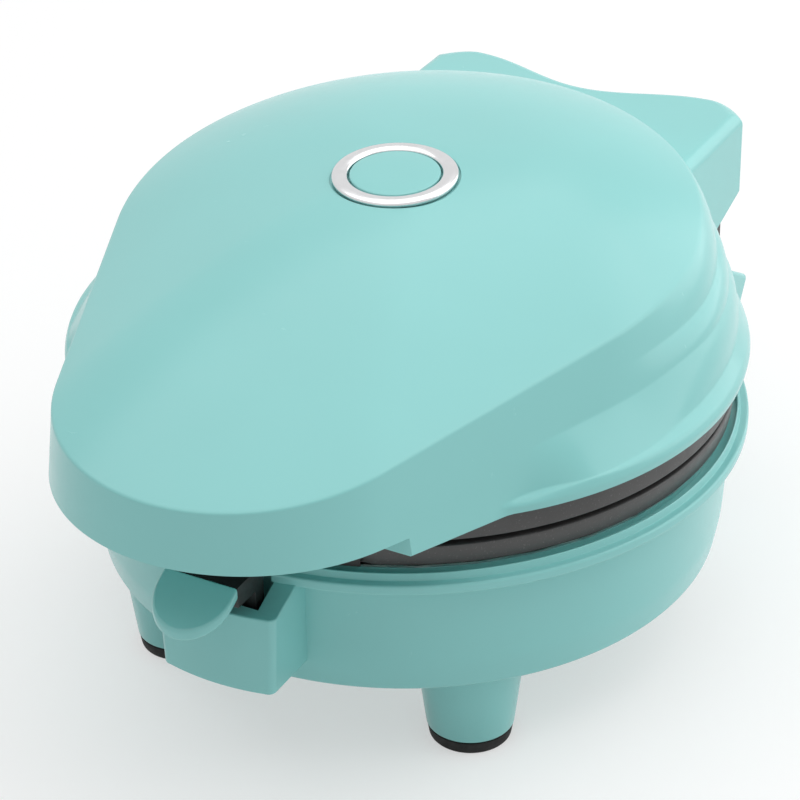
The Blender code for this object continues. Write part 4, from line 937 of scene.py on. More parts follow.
def make_base_underside():
    """The cover that closes the base from below, with its four tapering legs."""
    bottom = BASE_BOTTOM + COVER_RECESS
    top = bottom + COVER_SHEET
    radius = BASE_BOTTOM_RADIUS - BASE_WALL - GAP
    disc = [(0, bottom, 0), (radius, bottom, EDGE), (radius, top, EDGE), (0, top, 0)]
    cover = lathe("base_underside", disc, LATHE_TURNS)
    low = PAD_HEIGHT + GAP
    leg = [
        (0, low, 0),
        (FOOT_LOW_RADIUS, low, EDGE),
        (FOOT_TOP_RADIUS, bottom - LEG_BLEND, LEG_BLEND),
        (FOOT_TOP_RADIUS + LEG_BLEND, bottom + GAP / 2, 0),
        (FOOT_TOP_RADIUS + LEG_BLEND, bottom + COVER_SHEET / 2, 0),
        (0, bottom + COVER_SHEET / 2, 0),
    ]
    for index, (x, y) in enumerate(foot_centres()):
        label = str(index + 1)
        join(cover, lathe("leg_" + label, leg, LATHE_TURNS // 2, placed(x, y, 0)))
        depth = PAD_HEIGHT + PAD_STUB_HEIGHT + 2 * GAP
        cut(cover, rod("leg_bore_" + label, PAD_STUB_RADIUS + GAP, 0, depth, SMALL_TURNS, placed(x, y, 0)))
    for index, (x, y) in enumerate(cover_screw_centres()):
        bore = SCREW_SHANK_RADIUS + GAP
        cut(cover, rod("cover_hole_" + str(index + 1), bore, 0, LIP_TOP, SMALL_TURNS, placed(x, y, 0)))
    shade(settle(cover), MOULDED_DEGREES)
    return dress(cover, FINISHES["aqua"], "base", "aqua_shell", "base_cover")


# The plates

def plate_turns():
    flat = math.degrees(math.asin(-PLATE_FLAT_Y / PLATE_RADIUS))
    degrees = [360.0 * step / LATHE_TURNS for step in range(LATHE_TURNS)]
    for corner in (180.0 + flat, 360.0 - flat):
        nearest = min(degrees, key=lambda value: abs(value - corner))
        degrees[degrees.index(nearest)] = corner
    return [math.radians(value) for value in degrees]


def plate_point(turn, radius, inset, z):
    """A point at one angle that keeps behind the plate's flat front by the inset."""
    reach = radius
    if math.sin(turn) < 0:
        reach = min(radius, (PLATE_FLAT_Y + inset) / math.sin(turn))
    return Vector((reach * math.cos(turn), reach * math.sin(turn), z))


def make_plate(name, node, body, flip):
    """A cast plate with a rolled edge, a band round it and a plain floor; its ribs come from make_ridges."""
    top = PLATE_MIDDLE - PLATE_GAP / 2
    bottom = RIM_TOP + REFLECTOR_SHEET + 3 * GAP
    floor = top - PLATE_DEPTH
    mouth = PLATE_RADIUS - PLATE_RIM_WIDTH
    wall = PLATE_RADIUS - PLATE_WALL
    front_wall = PLATE_WALL - GAP
    corners = [
        (mouth - PLATE_DRAFT + PLATE_WALL / 2, PLATE_WALL + 3 * GAP, floor - PLATE_WALL, EDGE),
        (mouth + PLATE_WALL, front_wall + GAP, top - PLATE_WALL, EDGE),
        (wall, front_wall, top - PLATE_WALL, EDGE),
        (wall - PLATE_BAND_TAPER, front_wall, bottom, FINE_EDGE),
        (PLATE_RADIUS - PLATE_BAND_TAPER, 0, bottom, FINE_EDGE),
        (PLATE_RADIUS, 0, top, 2 * EDGE),
        (mouth, PLATE_WALL + GAP, top, 3 * EDGE),
        (mouth - PLATE_DRAFT, 2 * PLATE_WALL, floor, 3 * EDGE),
    ]
    columns = []
    for turn in plate_turns():
        line = [(plate_point(turn, radius, inset, z), back) for radius, inset, z, back in corners]
        line = [(Vector((0, 0, floor - PLATE_WALL)), 0)] + line + [(Vector((0, 0, floor)), 0)]
        columns.append(filleted(line)[1:-1])
    rings = [list(ring) for ring in zip(*columns)]
    rings = [[Vector((0, 0, floor - PLATE_WALL))]] + rings + [[Vector((0, 0, floor))]]
    if flip:
        rings = [[mirrored(point) for point in ring] for ring in rings]
    plate = shade(stacked(name, rings), MOULDED_DEGREES, weighted=False)
    return dress(plate, FINISHES["plate"], body, "plate_coating", node)


def mirrored(point):
    return Vector((point[0], point[1], 2 * PLATE_MIDDLE - point[2]))


# What Geometry Nodes repeat or sweep

class Graph:
    """A node tree, with short ways to add a node and to feed its inputs."""

    def __init__(self, tree):
        self.tree = tree

    def link(self, source, target):
        self.tree.links.new(source, target)

    def feed(self, socket, value):
        """Links another node's output to a socket, or sets the socket to a plain value."""
        if isinstance(value, bpy.types.NodeSocket):
            self.link(value, socket)
        else:
            socket.default_value = value

    def add(self, kind, inputs=None, **settings):
        node = self.tree.nodes.new(kind)
        for key, value in settings.items():
            setattr(node, key, value)
        for label, value in (inputs or {}).items():
            self.feed(node.inputs[label], value)
        return node

    def calculate(self, operation, first, second):
        return self.add("ShaderNodeMath", {0: first, 1: second}, operation=operation).outputs[0]


class Tree(Graph):
    """A Geometry Nodes tree with named inputs, used for pieces that repeat or follow a path."""

    def __init__(self, name, kinds):
        super().__init__(bpy.data.node_groups.new(name, "GeometryNodeTree"))
        self.tree.interface.new_socket("Geometry", in_out="OUTPUT", socket_type="NodeSocketGeometry")
        for label, kind in {**kinds, "Finish": "Material"}.items():
            self.tree.interface.new_socket(label, in_out="INPUT", socket_type="NodeSocket" + kind)
        self.given = self.add("NodeGroupInput").outputs

    def close(self, geometry):
        """Ends the tree in real geometry that carries its material."""
        real = self.add("GeometryNodeRealizeInstances", {"Geometry": geometry}).outputs[0]
        coat = self.add("GeometryNodeSetMaterial", {"Geometry": real, "Material": self.given["Finish"]})
        self.add("NodeGroupOutput", {"Geometry": coat.outputs[0]})
        return self.tree


def grown(name, tree, values):
    """Runs a tree with its inputs set and returns what it makes as a plain mesh object."""
    obj = loose(name, bpy.data.meshes.new(name))
    modifier = obj.modifiers.new("grow", "NODES")
    modifier.node_group = tree
    for item in tree.interface.items_tree:
        if item.item_type == "SOCKET" and item.in_out == "INPUT":
            modifier[item.identifier] = values[item.name]
    return settle(obj)


def copies_tree():
    """Sets a copy of one piece on every point of a set of spots, each turned by a seeded angle."""
    kinds = {"Spots": "Object", "Piece": "Object", "Most Turn": "Float", "Seed": "Int"}
    tree = Tree("copies_on_spots", kinds)
    given = tree.given
    spots = tree.add("GeometryNodeObjectInfo", {"Object": given["Spots"]})
    piece = tree.add("GeometryNodeObjectInfo", {"Object": given["Piece"], "As Instance": True})
    limits = {"Max": given["Most Turn"], "Seed": given["Seed"]}
    turn = tree.add("FunctionNodeRandomValue", limits, data_type="FLOAT")
    amount = next(socket for socket in turn.outputs if socket.enabled)
    copies = tree.add("GeometryNodeInstanceOnPoints", {
        "Points": spots.outputs["Geometry"],
        "Instance": piece.outputs["Geometry"],
        "Rotation": tree.add("ShaderNodeCombineXYZ", {"Z": amount}).outputs["Vector"],
    })
    return tree.close(copies.outputs["Instances"])


def ridges_tree():
    """Rows of one bar side by side, each as long as the round floor allows at its place."""
    kinds = {"Bar": "Object", "Count": "Int", "Pitch": "Float", "Reach": "Float", "Middle": "Vector"}
    tree = Tree("ridge_rows", kinds)
    given = tree.given
    width = tree.calculate("MULTIPLY", tree.calculate("SUBTRACT", given["Count"], 1.0), given["Pitch"])
    start = tree.add("ShaderNodeCombineXYZ", {"X": tree.calculate("MULTIPLY", width, -0.5)})
    line = tree.add("GeometryNodeMeshLine", {
        "Count": given["Count"],
        "Start Location": start.outputs["Vector"],
        "Offset": tree.add("ShaderNodeCombineXYZ", {"X": given["Pitch"]}).outputs["Vector"],
    })
    place = tree.add("GeometryNodeInputPosition").outputs["Position"]
    spot_x = tree.add("ShaderNodeSeparateXYZ", {"Vector": place}).outputs["X"]
    across = tree.calculate("DIVIDE", spot_x, given["Reach"])
    rest = tree.calculate("SUBTRACT", 1.0, tree.calculate("MULTIPLY", across, across))
    scale = {"X": 1.0, "Y": tree.calculate("POWER", rest, 0.5), "Z": 1.0}
    bar = tree.add("GeometryNodeObjectInfo", {"Object": given["Bar"], "As Instance": True})
    rows = tree.add("GeometryNodeInstanceOnPoints", {
        "Points": line.outputs["Mesh"],
        "Instance": bar.outputs["Geometry"],
        "Scale": tree.add("ShaderNodeCombineXYZ", scale).outputs["Vector"],
    })
    real = tree.add("GeometryNodeRealizeInstances", {"Geometry": rows.outputs["Instances"]}).outputs[0]
    moved = tree.add("GeometryNodeSetPosition", {"Geometry": real, "Offset": given["Middle"]})
    return tree.close(moved.outputs["Geometry"])


def swept_tree():
    """A round bar swept along a path of points, closed at both ends."""
    tree = Tree("swept_bar", {"Path": "Object", "Radius": "Float", "Sides": "Int"})
    given = tree.given
    path = tree.add("GeometryNodeObjectInfo", {"Object": given["Path"]})
    line = tree.add("GeometryNodeMeshToCurve", {"Mesh": path.outputs["Geometry"]})
    circle = {"Radius": given["Radius"], "Resolution": given["Sides"]}
    bar = tree.add("GeometryNodeCurveToMesh", {
        "Curve": line.outputs["Curve"],
        "Profile Curve": tree.add("GeometryNodeCurvePrimitiveCircle", circle).outputs["Curve"],
        "Fill Caps": True,
    })
    return tree.close(bar.outputs["Mesh"])


def make_ridges():
    """The ribbed floors of both plates, from one rounded bar."""
    tree = ridges_tree()
    floor = PLATE_MIDDLE - PLATE_GAP / 2 - PLATE_DEPTH
    foot = RIDGE_FOOT / 2
    crest = RIDGE_TOP / 2
    root = -PLATE_WALL / 2
    corners = [((-foot, root), 0), ((foot, root), 0), ((foot, 0), EDGE)]
    corners += [((crest, RIDGE_HEIGHT), 2 * EDGE), ((-crest, RIDGE_HEIGHT), 2 * EDGE), ((-foot, 0), EDGE)]
    section = filleted(corners, closed=True)
    ends = []
    for step in range(RIDGE_END_STEPS + 1):
        turn = math.pi / 2 * step / RIDGE_END_STEPS
        reach = RIDGE_REACH - RIDGE_HEIGHT * (1 - math.sin(turn))
        ends.append([(x, reach, z * math.cos(turn) if z > 0 else z) for x, z in section])
    ends = [[(x, -y, z) for x, y, z in ring] for ring in reversed(ends)] + ends
    rows = ((1, floor, "base", "lower"), (-1, 2 * PLATE_MIDDLE - floor, "lid", "upper"))
    for up, height, body, word in rows:
        rings = [[(x, y - AXIS_SHIFT, up * z) for x, y, z in ring] for ring in ends]
        bar = shade(stacked("ridge_bar", rings), ROUND_DEGREES, weighted=False)
        values = {"Bar": bar, "Count": RIDGE_COUNT, "Pitch": RIDGE_PITCH, "Reach": RIDGE_REACH}
        values.update({"Middle": (0.0, AXIS_SHIFT, height), "Finish": FINISHES["plate"]})
        ridges = grown(word + "_plate_ridges", tree, values)
        drop(bar)
        dress(ridges, FINISHES["plate"], body, "plate_coating")


def copied(name, tree, piece, spots, most_turn, seed, finish):
    """One object of copies of a piece on a set of spots."""
    places = new_object(name + "_spots", spots, [], [])
    values = {"Spots": places, "Piece": piece, "Most Turn": most_turn, "Seed": seed, "Finish": finish}
    copies = grown(name, tree, values)
    drop(places)
    return copies


def make_screws_and_pads():
    tree = copies_tree()
    head = [
        (0, -SCREW_HEAD_HEIGHT, 0),
        (SCREW_HEAD_RADIUS * HEAD_FLAT_SHARE, -SCREW_HEAD_HEIGHT, 2 * EDGE),
        (SCREW_HEAD_RADIUS, -SCREW_HEAD_HEIGHT / 2, 2 * EDGE),
        (SCREW_HEAD_RADIUS, 0, FINE_EDGE),
        (SCREW_SHANK_RADIUS, 0, FINE_EDGE),
        (SCREW_SHANK_RADIUS, SCREW_LENGTH, EDGE),
        (0, SCREW_LENGTH + GAP, 0),
    ]
    screw = lathe("screw_pattern", head, SMALL_TURNS // 2, placed(0, -AXIS_SHIFT, 0))
    arm = SCREW_HEAD_RADIUS * CROSS_ARM_SHARE
    slot = SCREW_HEAD_RADIUS * CROSS_SLOT_SHARE
    deep = -SCREW_HEAD_HEIGHT / 2
    for index, (x, y) in enumerate(((arm, slot), (slot, arm))):
        low = (-x, -y - AXIS_SHIFT, -2 * SCREW_HEAD_HEIGHT)
        cut(screw, block("cross_cut_" + str(index + 1), low, (x, y - AXIS_SHIFT, deep)))
    shade(settle(screw), MOULDED_DEGREES, weighted=False)
    under_cover = level(cover_screw_centres(), BASE_BOTTOM + COVER_RECESS - GAP)
    bracket_places = [(side * BRACKET_SCREW_X, BRACKET_SCREW_Y) for side, word in SIDES]
    under_bracket = level(bracket_places, BRACKET_PLATE_BOTTOM - GAP)
    rows = (
        ("cover_screws", under_cover, "base", ["cover_screw_" + str(number) for number in range(1, 5)]),
        ("bracket_screws", under_bracket, "lid", ["bracket_screw_" + word for side, word in SIDES]),
    )
    for name, spots, body, nodes in rows:
        screws = copied(name, tree, screw, spots, math.pi / 2, SCREW_SEED, FINISHES["steel"])
        dress(screws, FINISHES["steel"], body, "steel_hardware", *nodes)
    profile = [
        (0, 0, 0),
        (PAD_LOW_RADIUS, 0, 2 * EDGE),
        (FOOT_LOW_RADIUS - FINE_EDGE, PAD_HEIGHT, EDGE),
        (PAD_STUB_RADIUS, PAD_HEIGHT, FINE_EDGE),
        (PAD_STUB_RADIUS, PAD_HEIGHT + PAD_STUB_HEIGHT, EDGE),
        (0, PAD_HEIGHT + PAD_STUB_HEIGHT, 0),
    ]
    pad = lathe("pad_pattern", profile, LATHE_TURNS // 2, placed(0, -AXIS_SHIFT, 0))
    shade(pad, PAD_DEGREES, weighted=False)
    spots = level(foot_centres(), 0)
    pads = copied("rubber_pads", tree, pad, spots, math.tau, PAD_SEED, FINISHES["rubber"])
    drop(pad, screw)
    words = ("front_left", "front_right", "rear_left", "rear_right")
    dress(pads, FINISHES["rubber"], "base", "foot_rubber", *["foot_pad_" + word for word in words])


def heater_path():
    height = PLATE_MIDDLE - PLATE_GAP / 2 - PLATE_DEPTH - PLATE_WALL - GAP - HEATER_TUBE
    start = 90.0 + HEATER_OPENING_DEGREES
    end = 90.0 + 360.0 - HEATER_OPENING_DEGREES
    path = [(x, y, height) for x, y in arc(0, 0, HEATER_RING, start, end, HEATER_ARC_STEPS)]
    turn = math.radians(HEATER_OPENING_DEGREES)
    away = (-math.cos(turn), math.sin(turn))
    last = path[-1]
    tail = []
    for step in range(1, HEATER_BEND_STEPS + 1):
        bend = math.pi / 2 * step / HEATER_BEND_STEPS
        out = HEATER_BEND * math.sin(bend)
        z = height - HEATER_BEND * (1 - math.cos(bend))
        tail.append((last[0] + away[0] * out, last[1] + away[1] * out, z))
    tail.append((tail[-1][0], tail[-1][1], tail[-1][2] - HEATER_TAIL))
    head = [(-x, y, z) for x, y, z in reversed(tail)]
    return head + path + tail


def spring_path():
    """A coil round the latch pin with one leg forwards under the hook and one down to the pocket's floor."""
    steps = SPRING_TURNS * SPRING_STEPS + SPRING_STEPS // 2
    path = [(-SPRING_HALF, LATCH_PIVOT_Y - SPRING_COIL_RADIUS, SPRING_NOTCH_TOP - 2 * SPRING_WIRE)]
    for step in range(steps + 1):
        turn = math.pi - math.tau * step / SPRING_STEPS
        x = blend(-SPRING_HALF, SPRING_HALF, step / steps)
        y = LATCH_PIVOT_Y + SPRING_COIL_RADIUS * math.cos(turn)
        path.append((x, y, LATCH_PIVOT_Z - SPRING_COIL_RADIUS * math.sin(turn)))
    floor = POCKET_BOTTOM + POCKET_FLOOR + 2 * SPRING_WIRE
    path.append((SPRING_HALF, LATCH_PIVOT_Y + SPRING_COIL_RADIUS, floor))
    return path


def make_swept_bars():
    tree = swept_tree()
    lower = heater_path()
    upper = [tuple(mirrored(point)) for point in lower]
    rows = (
        ("lower_heating_bar", lower, HEATER_TUBE, BAR_SIDES, "heater", "base", "lower_heater"),
        ("upper_heating_bar", upper, HEATER_TUBE, BAR_SIDES, "heater", "lid", "upper_heater"),
        ("latch_coil_spring", spring_path(), SPRING_WIRE, COIL_SIDES, "steel", "base", "latch_spring"),
    )
    for name, points, radius, sides, finish, body, node in rows:
        steps = [(index, index + 1) for index in range(len(points) - 1)]
        path = new_object(name + "_path", points, steps, [])
        values = {"Path": path, "Radius": radius, "Sides": sides, "Finish": FINISHES[finish]}
        bar = grown(name, tree, values)
        drop(path)
        shade(bar, BAR_DEGREES, weighted=False)
        dress(bar, FINISHES[finish], body, "steel_hardware", node)


# The latch and the hinge

def sloping(outline, fall):
    """A ring of the tab, which slopes down towards the front."""
    return [(x, y, TAB_REAR_TOP + TAB_SLOPE * (y - TAB_REAR_Y) + fall) for x, y in outline]


def make_latch():
    half = POCKET_HALF_TOP - POCKET_SIDE_WALL - LATCH_SIDE_GAP
    tooth_y = STRIKE_FRONT_Y - GAP
    hook = arc(LATCH_PIVOT_Y, LATCH_PIVOT_Z, LATCH_BOSS_RADIUS, *HOOK_ARC_DEGREES, HOOK_ARC_STEPS)
    hook += [
        (LATCH_ARM_FRONT_Y, LATCH_SHELF_BOTTOM),
        (LATCH_SHELF_FRONT_Y, LATCH_SHELF_BOTTOM),
        (LATCH_SHELF_FRONT_Y, LATCH_SHELF_TOP),
        (LATCH_ARM_FRONT_Y, LATCH_SHELF_TOP),
        (LATCH_ARM_FRONT_Y, LATCH_TOP),
        (LATCH_ARM_REAR_Y - TOOTH_EASE / 4, LATCH_TOP),
        (tooth_y, LATCH_TOP - TOOTH_EASE),
        (tooth_y, TOOTH_BOTTOM),
        (LATCH_ARM_REAR_Y, TOOTH_BOTTOM),
    ]
    body = side_prism("latch_arm", hook, -half, half)
    low = (-SPRING_NOTCH_HALF, LATCH_SHELF_FRONT_Y, 0)
    cut(body, block("spring_notch_cut", low, (SPRING_NOTCH_HALF, POCKET_BACK_Y, SPRING_NOTCH_TOP)))
    bore = LATCH_PIN_RADIUS + GAP
    cut(body, cross_rod("latch_hook_bore", bore, LATCH_PIVOT_Y, LATCH_PIVOT_Z, POCKET_HALF_TOP, SMALL_TURNS))
    soften(body, FINE_EDGE, 2, BEVEL_DEGREES)
    shade(settle(body), MOULDED_DEGREES)
    dress(body, FINISHES["black"], "latch", "black_parts", "latch_hook")
    outline = [(-TAB_HALF, TAB_REAR_Y)]
    outline += arc(0, TAB_STRAIGHT_Y, TAB_HALF, 180, 360, TAB_ARC_STEPS)
    outline.append((TAB_HALF, TAB_REAR_Y))
    tab = stacked("latch_press_tab", [sloping(outline, -TAB_THICKNESS), sloping(outline, 0)])
    soften(tab, TAB_SOFT_EDGE, 4, BEVEL_DEGREES)
    shade(settle(tab), MOULDED_DEGREES)
    dress(tab, FINISHES["aqua"], "latch", "aqua_shell", "latch_tab")


def make_strike():
    reach = math.degrees(math.acos((-PLATE_FLAT_Y + 2 * GAP) / STRIKE_RADIUS))
    outline = arc(0, 0, STRIKE_RADIUS, -90 - reach, -90 + reach, STRIKE_ARC_STEPS)
    strike = upright_prism("lid_front_strike", outline, STRIKE_BOTTOM, LID_UNDERSIDE - GAP)
    low = (-STRIKE_HALF, STRIKE_FRONT_Y, STRIKE_LEDGE_BOTTOM)
    join(strike, block("strike_ledge", low, (STRIKE_HALF, PLATE_FLAT_Y - STRIKE_HALF / 2, STRIKE_LEDGE_TOP)))
    soften(strike, FINE_EDGE, 2, ROUND_BEVEL_DEGREES)
    shade(settle(strike), MOULDED_DEGREES)
    dress(strike, FINISHES["black"], "lid", "black_parts", "lid_strike")


def make_hinge_bracket():
    front_y = TAIL_INNER_START_Y + GAP
    low = (-ARM_OUTER, front_y, BRACKET_PLATE_BOTTOM)
    bracket = block("tail_bracket", low, (ARM_OUTER, BRACKET_PLATE_REAR_Y, BRACKET_PLATE_TOP))
    top_z = BRACKET_PLATE_TOP - GAP
    arm = [(HINGE_Y - ARM_RADIUS, top_z)]
    arm += arc(HINGE_Y, HINGE_Z, ARM_RADIUS, 180, 360, SMALL_ARC_STEPS)
    arm.append((ARM_REAR_Y, top_z))
    for side, word in SIDES:
        ends = sorted((side * (EAR_OUTER + GAP), side * ARM_OUTER))
        join(bracket, side_prism("bracket_arm_" + word, arm, *ends))
    bore = HINGE_PIN_RADIUS + GAP
    cut(bracket, cross_rod("bracket_bore_cut", bore, HINGE_Y, HINGE_Z, BLOCK_HALF, SMALL_TURNS))
    for side, word in SIDES:
        place = placed(side * BRACKET_SCREW_X, BRACKET_SCREW_Y, 0)
        hole = SCREW_SHANK_RADIUS + GAP
        cut(bracket, rod("bracket_hole_" + word, hole, HINGE_Z, TAIL_TOP, SMALL_TURNS, place))
    shade(settle(bracket), MOULDED_DEGREES)
    dress(bracket, FINISHES["grey"], "lid", "grey_bracket", "hinge_bracket")


# The finishes

class Finish(Graph):
    """A material of fine grain, slow colour drift and uneven gloss, on the piece's own coordinates."""

    def __init__(self, name, colour, metallic=0.0, specular=0.5):
        self.material = bpy.data.materials.new(name)
        self.material.use_nodes = True
        super().__init__(self.material.node_tree)
        self.shader = self.tree.nodes["Principled BSDF"]
        self.shader.inputs["Base Color"].default_value = (*colour, 1.0)
        self.shader.inputs["Metallic"].default_value = metallic
        self.shader.inputs["Specular IOR Level"].default_value = specular
        self.colour = colour
        self.place = self.add("ShaderNodeTexCoord").outputs["Object"]
        self.height = None

    def grain(self, scale, detail=3.0, stretch=(1.0, 1.0, 1.0), roughness=0.5):
        """A noise value; the scale counts grains to the metre."""
        place = self.add("ShaderNodeMapping", {"Vector": self.place, "Scale": stretch}).outputs["Vector"]
        look = {"Vector": place, "Scale": scale, "Detail": detail, "Roughness": roughness}
        return self.add("ShaderNodeTexNoise", look).outputs["Fac"]

    def spread(self, value, low=0.0, high=1.0, start=0.3, end=0.7):
        """Stretches the middle of a value over a wanted range."""
        ends = {"From Min": start, "From Max": end, "To Min": low, "To Max": high}
        return self.add("ShaderNodeMapRange", {"Value": value, **ends}).outputs["Result"]

    def cloud(self, start=0.3, end=0.7, **grain):
        """A noise value stretched over 0 to 1."""
        return self.spread(self.grain(**grain), start=start, end=end)

    def mix(self, share, first, second):
        node = self.add("ShaderNodeMix", data_type="RGBA")
        colours = [socket for socket in node.inputs if socket.type == "RGBA"]
        factor = next(socket for socket in node.inputs if socket.type == "VALUE" and socket.enabled)
        self.feed(factor, share)
        for socket, colour in zip(colours, (first, second)):
            self.feed(socket, (*colour, 1.0) if isinstance(colour, tuple) else colour)
        return next(socket for socket in node.outputs if socket.type == "RGBA")

    def tinted(self, factor):
        return tuple(min(channel * factor, 1.0) for channel in self.colour)

    def colour_from(self, output):
        self.link(output, self.shader.inputs["Base Color"])

    def gloss_from(self, output):
        self.link(output, self.shader.inputs["Roughness"])

    def mottle(self, value, first, second):
        """Colours the surface from one tint of its colour to another by a value."""
        self.colour_from(self.mix(value, self.tinted(first), self.tinted(second)))

    def sprinkle(self, spots, most, under, tint):
        """Colours the surface with spots of a tint, which cover what is under them by a share at most."""
        cover = self.spread(spots, 0.0, most, 0.0, 1.0)
        self.colour_from(self.mix(cover, under, self.tinted(tint)))

    def gloss(self, low, high, **grain):
        self.gloss_from(self.spread(self.grain(**grain), low, high))

    def bump(self, value, depth):
        """Adds relief of the given depth in metres on top of what is there."""
        node = self.add("ShaderNodeBump", {"Strength": 1.0, "Distance": depth, "Height": value})
        if self.height is not None:
            self.link(self.height, node.inputs["Normal"])
        self.height = node.outputs["Normal"]
        self.link(self.height, self.shader.inputs["Normal"])

    def relief(self, depth, **grain):
        self.bump(self.grain(**grain), depth)


def aqua_plastic():
    """Gloss moulded plastic: faint flow in the colour, orange peel, hairline scuffs that dull the gloss."""
    skin = Finish("gloss_aqua_moulding", AQUA_COLOUR)
    base = skin.mix(skin.cloud(scale=22.0, detail=2.0), skin.tinted(0.975), skin.tinted(1.02))
    specks = skin.cloud(scale=1500.0, detail=2.0, start=0.66, end=0.80)
    skin.sprinkle(specks, most=0.04, under=base, tint=0.78)
    scuffs = skin.grain(scale=40.0, detail=8.0, stretch=(1.0, 14.0, 3.0), roughness=0.75)
    dulled = skin.spread(scuffs, low=0.0, high=0.03, start=0.60, end=0.78)
    sheen = skin.spread(skin.grain(scale=260.0, detail=4.0), low=0.20, high=0.27)
    skin.gloss_from(skin.calculate("ADD", sheen, dulled))
    skin.relief(depth=0.00001, scale=95.0, detail=1.0)
    skin.relief(depth=0.0000035, scale=1900.0, detail=2.0)
    return skin.material


def plate_coating():
    """Dark non-stick coating with fine mineral flecks and a sprayed texture."""
    coat = Finish("speckled_nonstick_coating", PLATE_COLOUR, specular=0.6)
    base = coat.mix(coat.cloud(scale=60.0), coat.tinted(0.85), coat.tinted(1.12))
    flecks = coat.cloud(scale=2600.0, start=0.62, end=0.70)
    coat.sprinkle(flecks, most=0.55, under=base, tint=2.6)
    coat.gloss(low=0.30, high=0.44, scale=420.0, detail=4.0)
    coat.relief(depth=0.000012, scale=1300.0)
    return coat.material


def black_plastic():
    """Satin moulded plastic with a fine spark-eroded grain."""
    skin = Finish("satin_black_moulding", BLACK_COLOUR)
    skin.mottle(skin.cloud(scale=90.0), 0.8, 1.5)
    skin.gloss(low=0.34, high=0.52, scale=700.0, detail=4.0)
    skin.relief(depth=0.000010, scale=2400.0, detail=2.0)
    return skin.material


def grey_plastic():
    """Dark grey heat-resisting plastic, matt, with short mineral streaks."""
    skin = Finish("heatproof_grey_moulding", GREY_COLOUR)
    skin.mottle(skin.cloud(scale=300.0, detail=4.0, stretch=(1.0, 0.2, 0.2)), 0.8, 1.25)
    skin.gloss(low=0.42, high=0.60, scale=500.0, detail=4.0)
    skin.relief(depth=0.000014, scale=1700.0)
    return skin.material


def pad_rubber():
    """Matt rubber, dusty where it meets the table."""
    skin = Finish("foot_pad_rubber", RUBBER_COLOUR, specular=0.3)
    dust = skin.cloud(scale=160.0, detail=6.0, roughness=0.7, start=0.50, end=0.72)
    skin.sprinkle(dust, most=0.5, under=skin.colour, tint=3.2)
    skin.gloss(low=0.62, high=0.86, scale=420.0, detail=4.0)
    skin.relief(depth=0.00002, scale=1100.0, detail=4.0)
    return skin.material


def bright_steel():
    """Drawn steel with fine lines along its length."""
    metal = Finish("drawn_bright_steel", STEEL_COLOUR, metallic=1.0)
    lines = metal.cloud(scale=900.0, stretch=(0.06, 1.0, 1.0))
    metal.mottle(lines, 0.86, 1.1)
    metal.gloss(low=0.24, high=0.42, scale=700.0, detail=4.0, stretch=(0.1, 1.0, 1.0))
    metal.bump(lines, depth=0.000004)
    return metal.material


def heater_steel():
    """The heating bar's sheath: steel darkened and tinted brown by heat."""
    metal = Finish("heat_tinted_sheath", SHEATH_COLOUR, metallic=1.0)
    metal.colour_from(metal.mix(metal.cloud(scale=70.0, detail=4.0), metal.tinted(0.75), BROWN_COLOUR))
    metal.gloss(low=0.38, high=0.56, scale=500.0, detail=4.0)
    metal.relief(depth=0.000008, scale=1600.0)
    return metal.material


def reflector_sheet():
    """Pressed aluminised sheet with a spangled surface."""
    metal = Finish("aluminised_sheet", SHEET_COLOUR, metallic=1.0)
    spangle = metal.add("ShaderNodeTexVoronoi", {"Vector": metal.place, "Scale": 260.0})
    metal.mottle(metal.spread(spangle.outputs["Distance"], start=0.0, end=0.8), 0.9, 1.08)
    metal.gloss(low=0.28, high=0.42, scale=300.0, detail=4.0)
    metal.relief(depth=0.000006, scale=800.0)
    return metal.material


def chrome_trim():
    """Satin chrome with faint turning marks and fingerprints."""
    metal = Finish("satin_chrome_trim", CHROME_COLOUR, metallic=1.0)
    metal.mottle(metal.cloud(scale=240.0, detail=5.0, roughness=0.7, start=0.45, end=0.75), 1.0, 0.93)
    metal.gloss(low=0.12, high=0.24, scale=600.0, detail=4.0)
    metal.relief(depth=0.0000025, scale=2400.0, detail=2.0)
    return metal.material


def make_finishes():
    FINISHES.update(
        aqua=aqua_plastic(),
        plate=plate_coating(),
        black=black_plastic(),
        grey=grey_plastic(),
        rubber=pad_rubber(),
        steel=bright_steel(),
        heater=heater_steel(),
        sheet=reflector_sheet(),
        chrome=chrome_trim(),
    )


def dress_kept_nodes():
    """The CAD nodes whose own shape is right keep it and get a finish."""
    kept = {
        "lower_reflector": "sheet",
        "upper_reflector": "sheet",
        "thermostat": "black",
        "thermal_fuse": "steel",
        "hinge_pin": "steel",
        "latch_pin": "steel",
        "cord_inlet": "rubber",
    }
    for name, finish in kept.items():
        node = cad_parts[name]
        for slot in node.material_slots:
            slot.material = FINISHES[finish]


# Light, floor and camera

def make_floor():
    floor = loose("pale_table", bpy.data.meshes.new("pale_table"))
    build = bmesh.new()
    bmesh.ops.create_grid(build, x_segments=FLOOR_SQUARES, y_segments=FLOOR_SQUARES, size=FLOOR_HALF)
    build.to_mesh(floor.data)
    build.free()
    finish = Finish("plain_pale_table", FLOOR_COLOUR, specular=0.0)
    near = finish.mix(finish.cloud(scale=6.0, detail=2.0), finish.tinted(0.99), finish.colour)
    rays = finish.add("ShaderNodeLightPath").outputs
    seen = finish.calculate("MAXIMUM", rays["Is Camera Ray"], rays["Is Glossy Ray"])
    finish.colour_from(finish.mix(seen, near, FLOOR_SEEN))
    inputs = finish.shader.inputs
    finish.feed(inputs["Emission Color"], WHITE)
    finish.feed(inputs["Emission Strength"], finish.calculate("MULTIPLY", seen, FLOOR_GLOW))
    finish.feed(inputs["Roughness"], FLOOR_ROUGHNESS)
    floor.data.materials.append(finish.material)


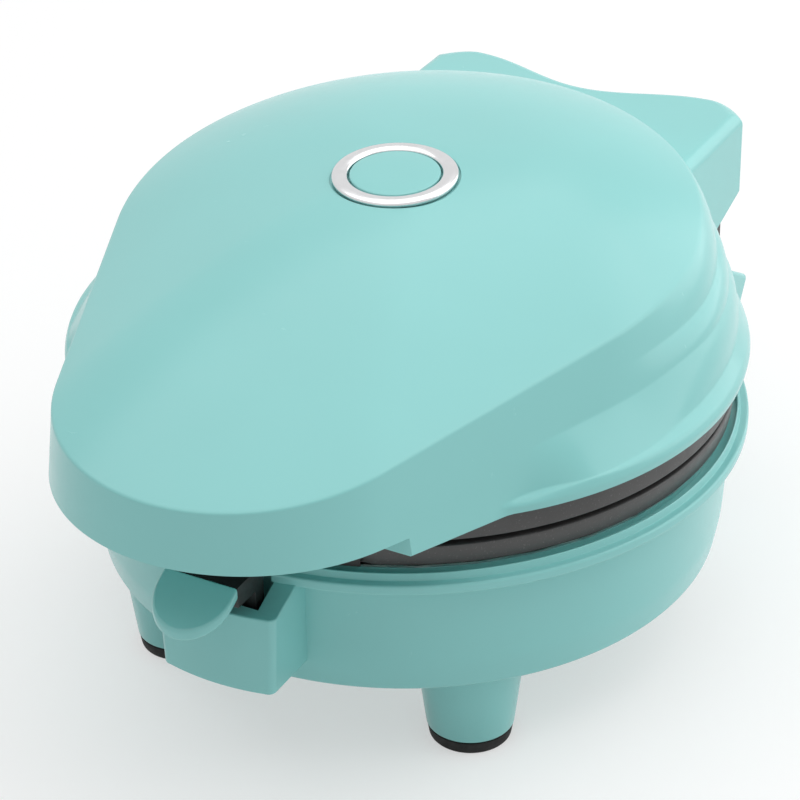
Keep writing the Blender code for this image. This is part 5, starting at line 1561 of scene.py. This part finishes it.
def make_world():
    """A soft even room, which cameras, shiny surfaces and clear ones see as plain white."""
    world = bpy.data.worlds.new("soft_room")
    bpy.context.scene.world = world
    world.use_nodes = True
    world.node_tree.nodes.clear()
    graph = Graph(world.node_tree)
    rooms = []
    for strength in (ROOM_STRENGTH, 1.0):
        rooms.append(graph.add("ShaderNodeBackground", {"Color": WHITE, "Strength": strength}).outputs[0])
    rays = graph.add("ShaderNodeLightPath").outputs
    seen = graph.calculate("MAXIMUM", rays["Is Camera Ray"], rays["Is Transmission Ray"])
    seen = graph.calculate("MAXIMUM", seen, rays["Is Glossy Ray"])
    pick = graph.add("ShaderNodeMixShader", {0: seen, 1: rooms[0], 2: rooms[1]})
    graph.add("ShaderNodeOutputWorld", {"Surface": pick.outputs[0]})


def make_lamp(name, spot, target, width, depth, power):
    data = bpy.data.lights.new(name, "AREA")
    data.shape = "RECTANGLE"
    data.size = width
    data.size_y = depth
    data.energy = power
    lamp = bpy.data.objects.new(name, data)
    lamp.location = spot
    lamp.rotation_euler = (Vector(target) - Vector(spot)).to_track_quat("-Z", "Y").to_euler()
    bpy.context.scene.collection.objects.link(lamp)


def make_camera():
    data = bpy.data.cameras.new("photo_view")
    data.lens = CAMERA_LENS
    data.sensor_width = CAMERA_SENSOR
    data.clip_start = CAMERA_NEAR
    data.clip_end = CAMERA_FAR
    camera = bpy.data.objects.new("photo_view", data)
    right, up, forward = (Vector(axis) for axis in CAMERA_AXES)
    turn = Matrix((right, up, -forward)).transposed().to_4x4()
    camera.matrix_world = Matrix.Translation(Vector(CAMERA_SPOT)) @ turn
    bpy.context.scene.collection.objects.link(camera)
    bpy.context.scene.camera = camera


def main():
    bpy.context.scene.view_settings.view_transform = "Standard"
    make_finishes()
    make_camera()
    make_floor()
    make_world()
    for lamp in LAMPS:
        make_lamp(*lamp)
    make_lid_dome()
    make_lid_tail()
    make_badge()
    make_base_body()
    make_base_underside()
    make_plate("lower_cast_plate", "lower_plate", "base", False)
    make_plate("upper_cast_plate", "upper_plate", "lid", True)
    make_ridges()
    make_screws_and_pads()
    make_swept_bars()
    make_latch()
    make_strike()
    make_hinge_bracket()
    dress_kept_nodes()
    bpy.context.view_layer.update()


main()
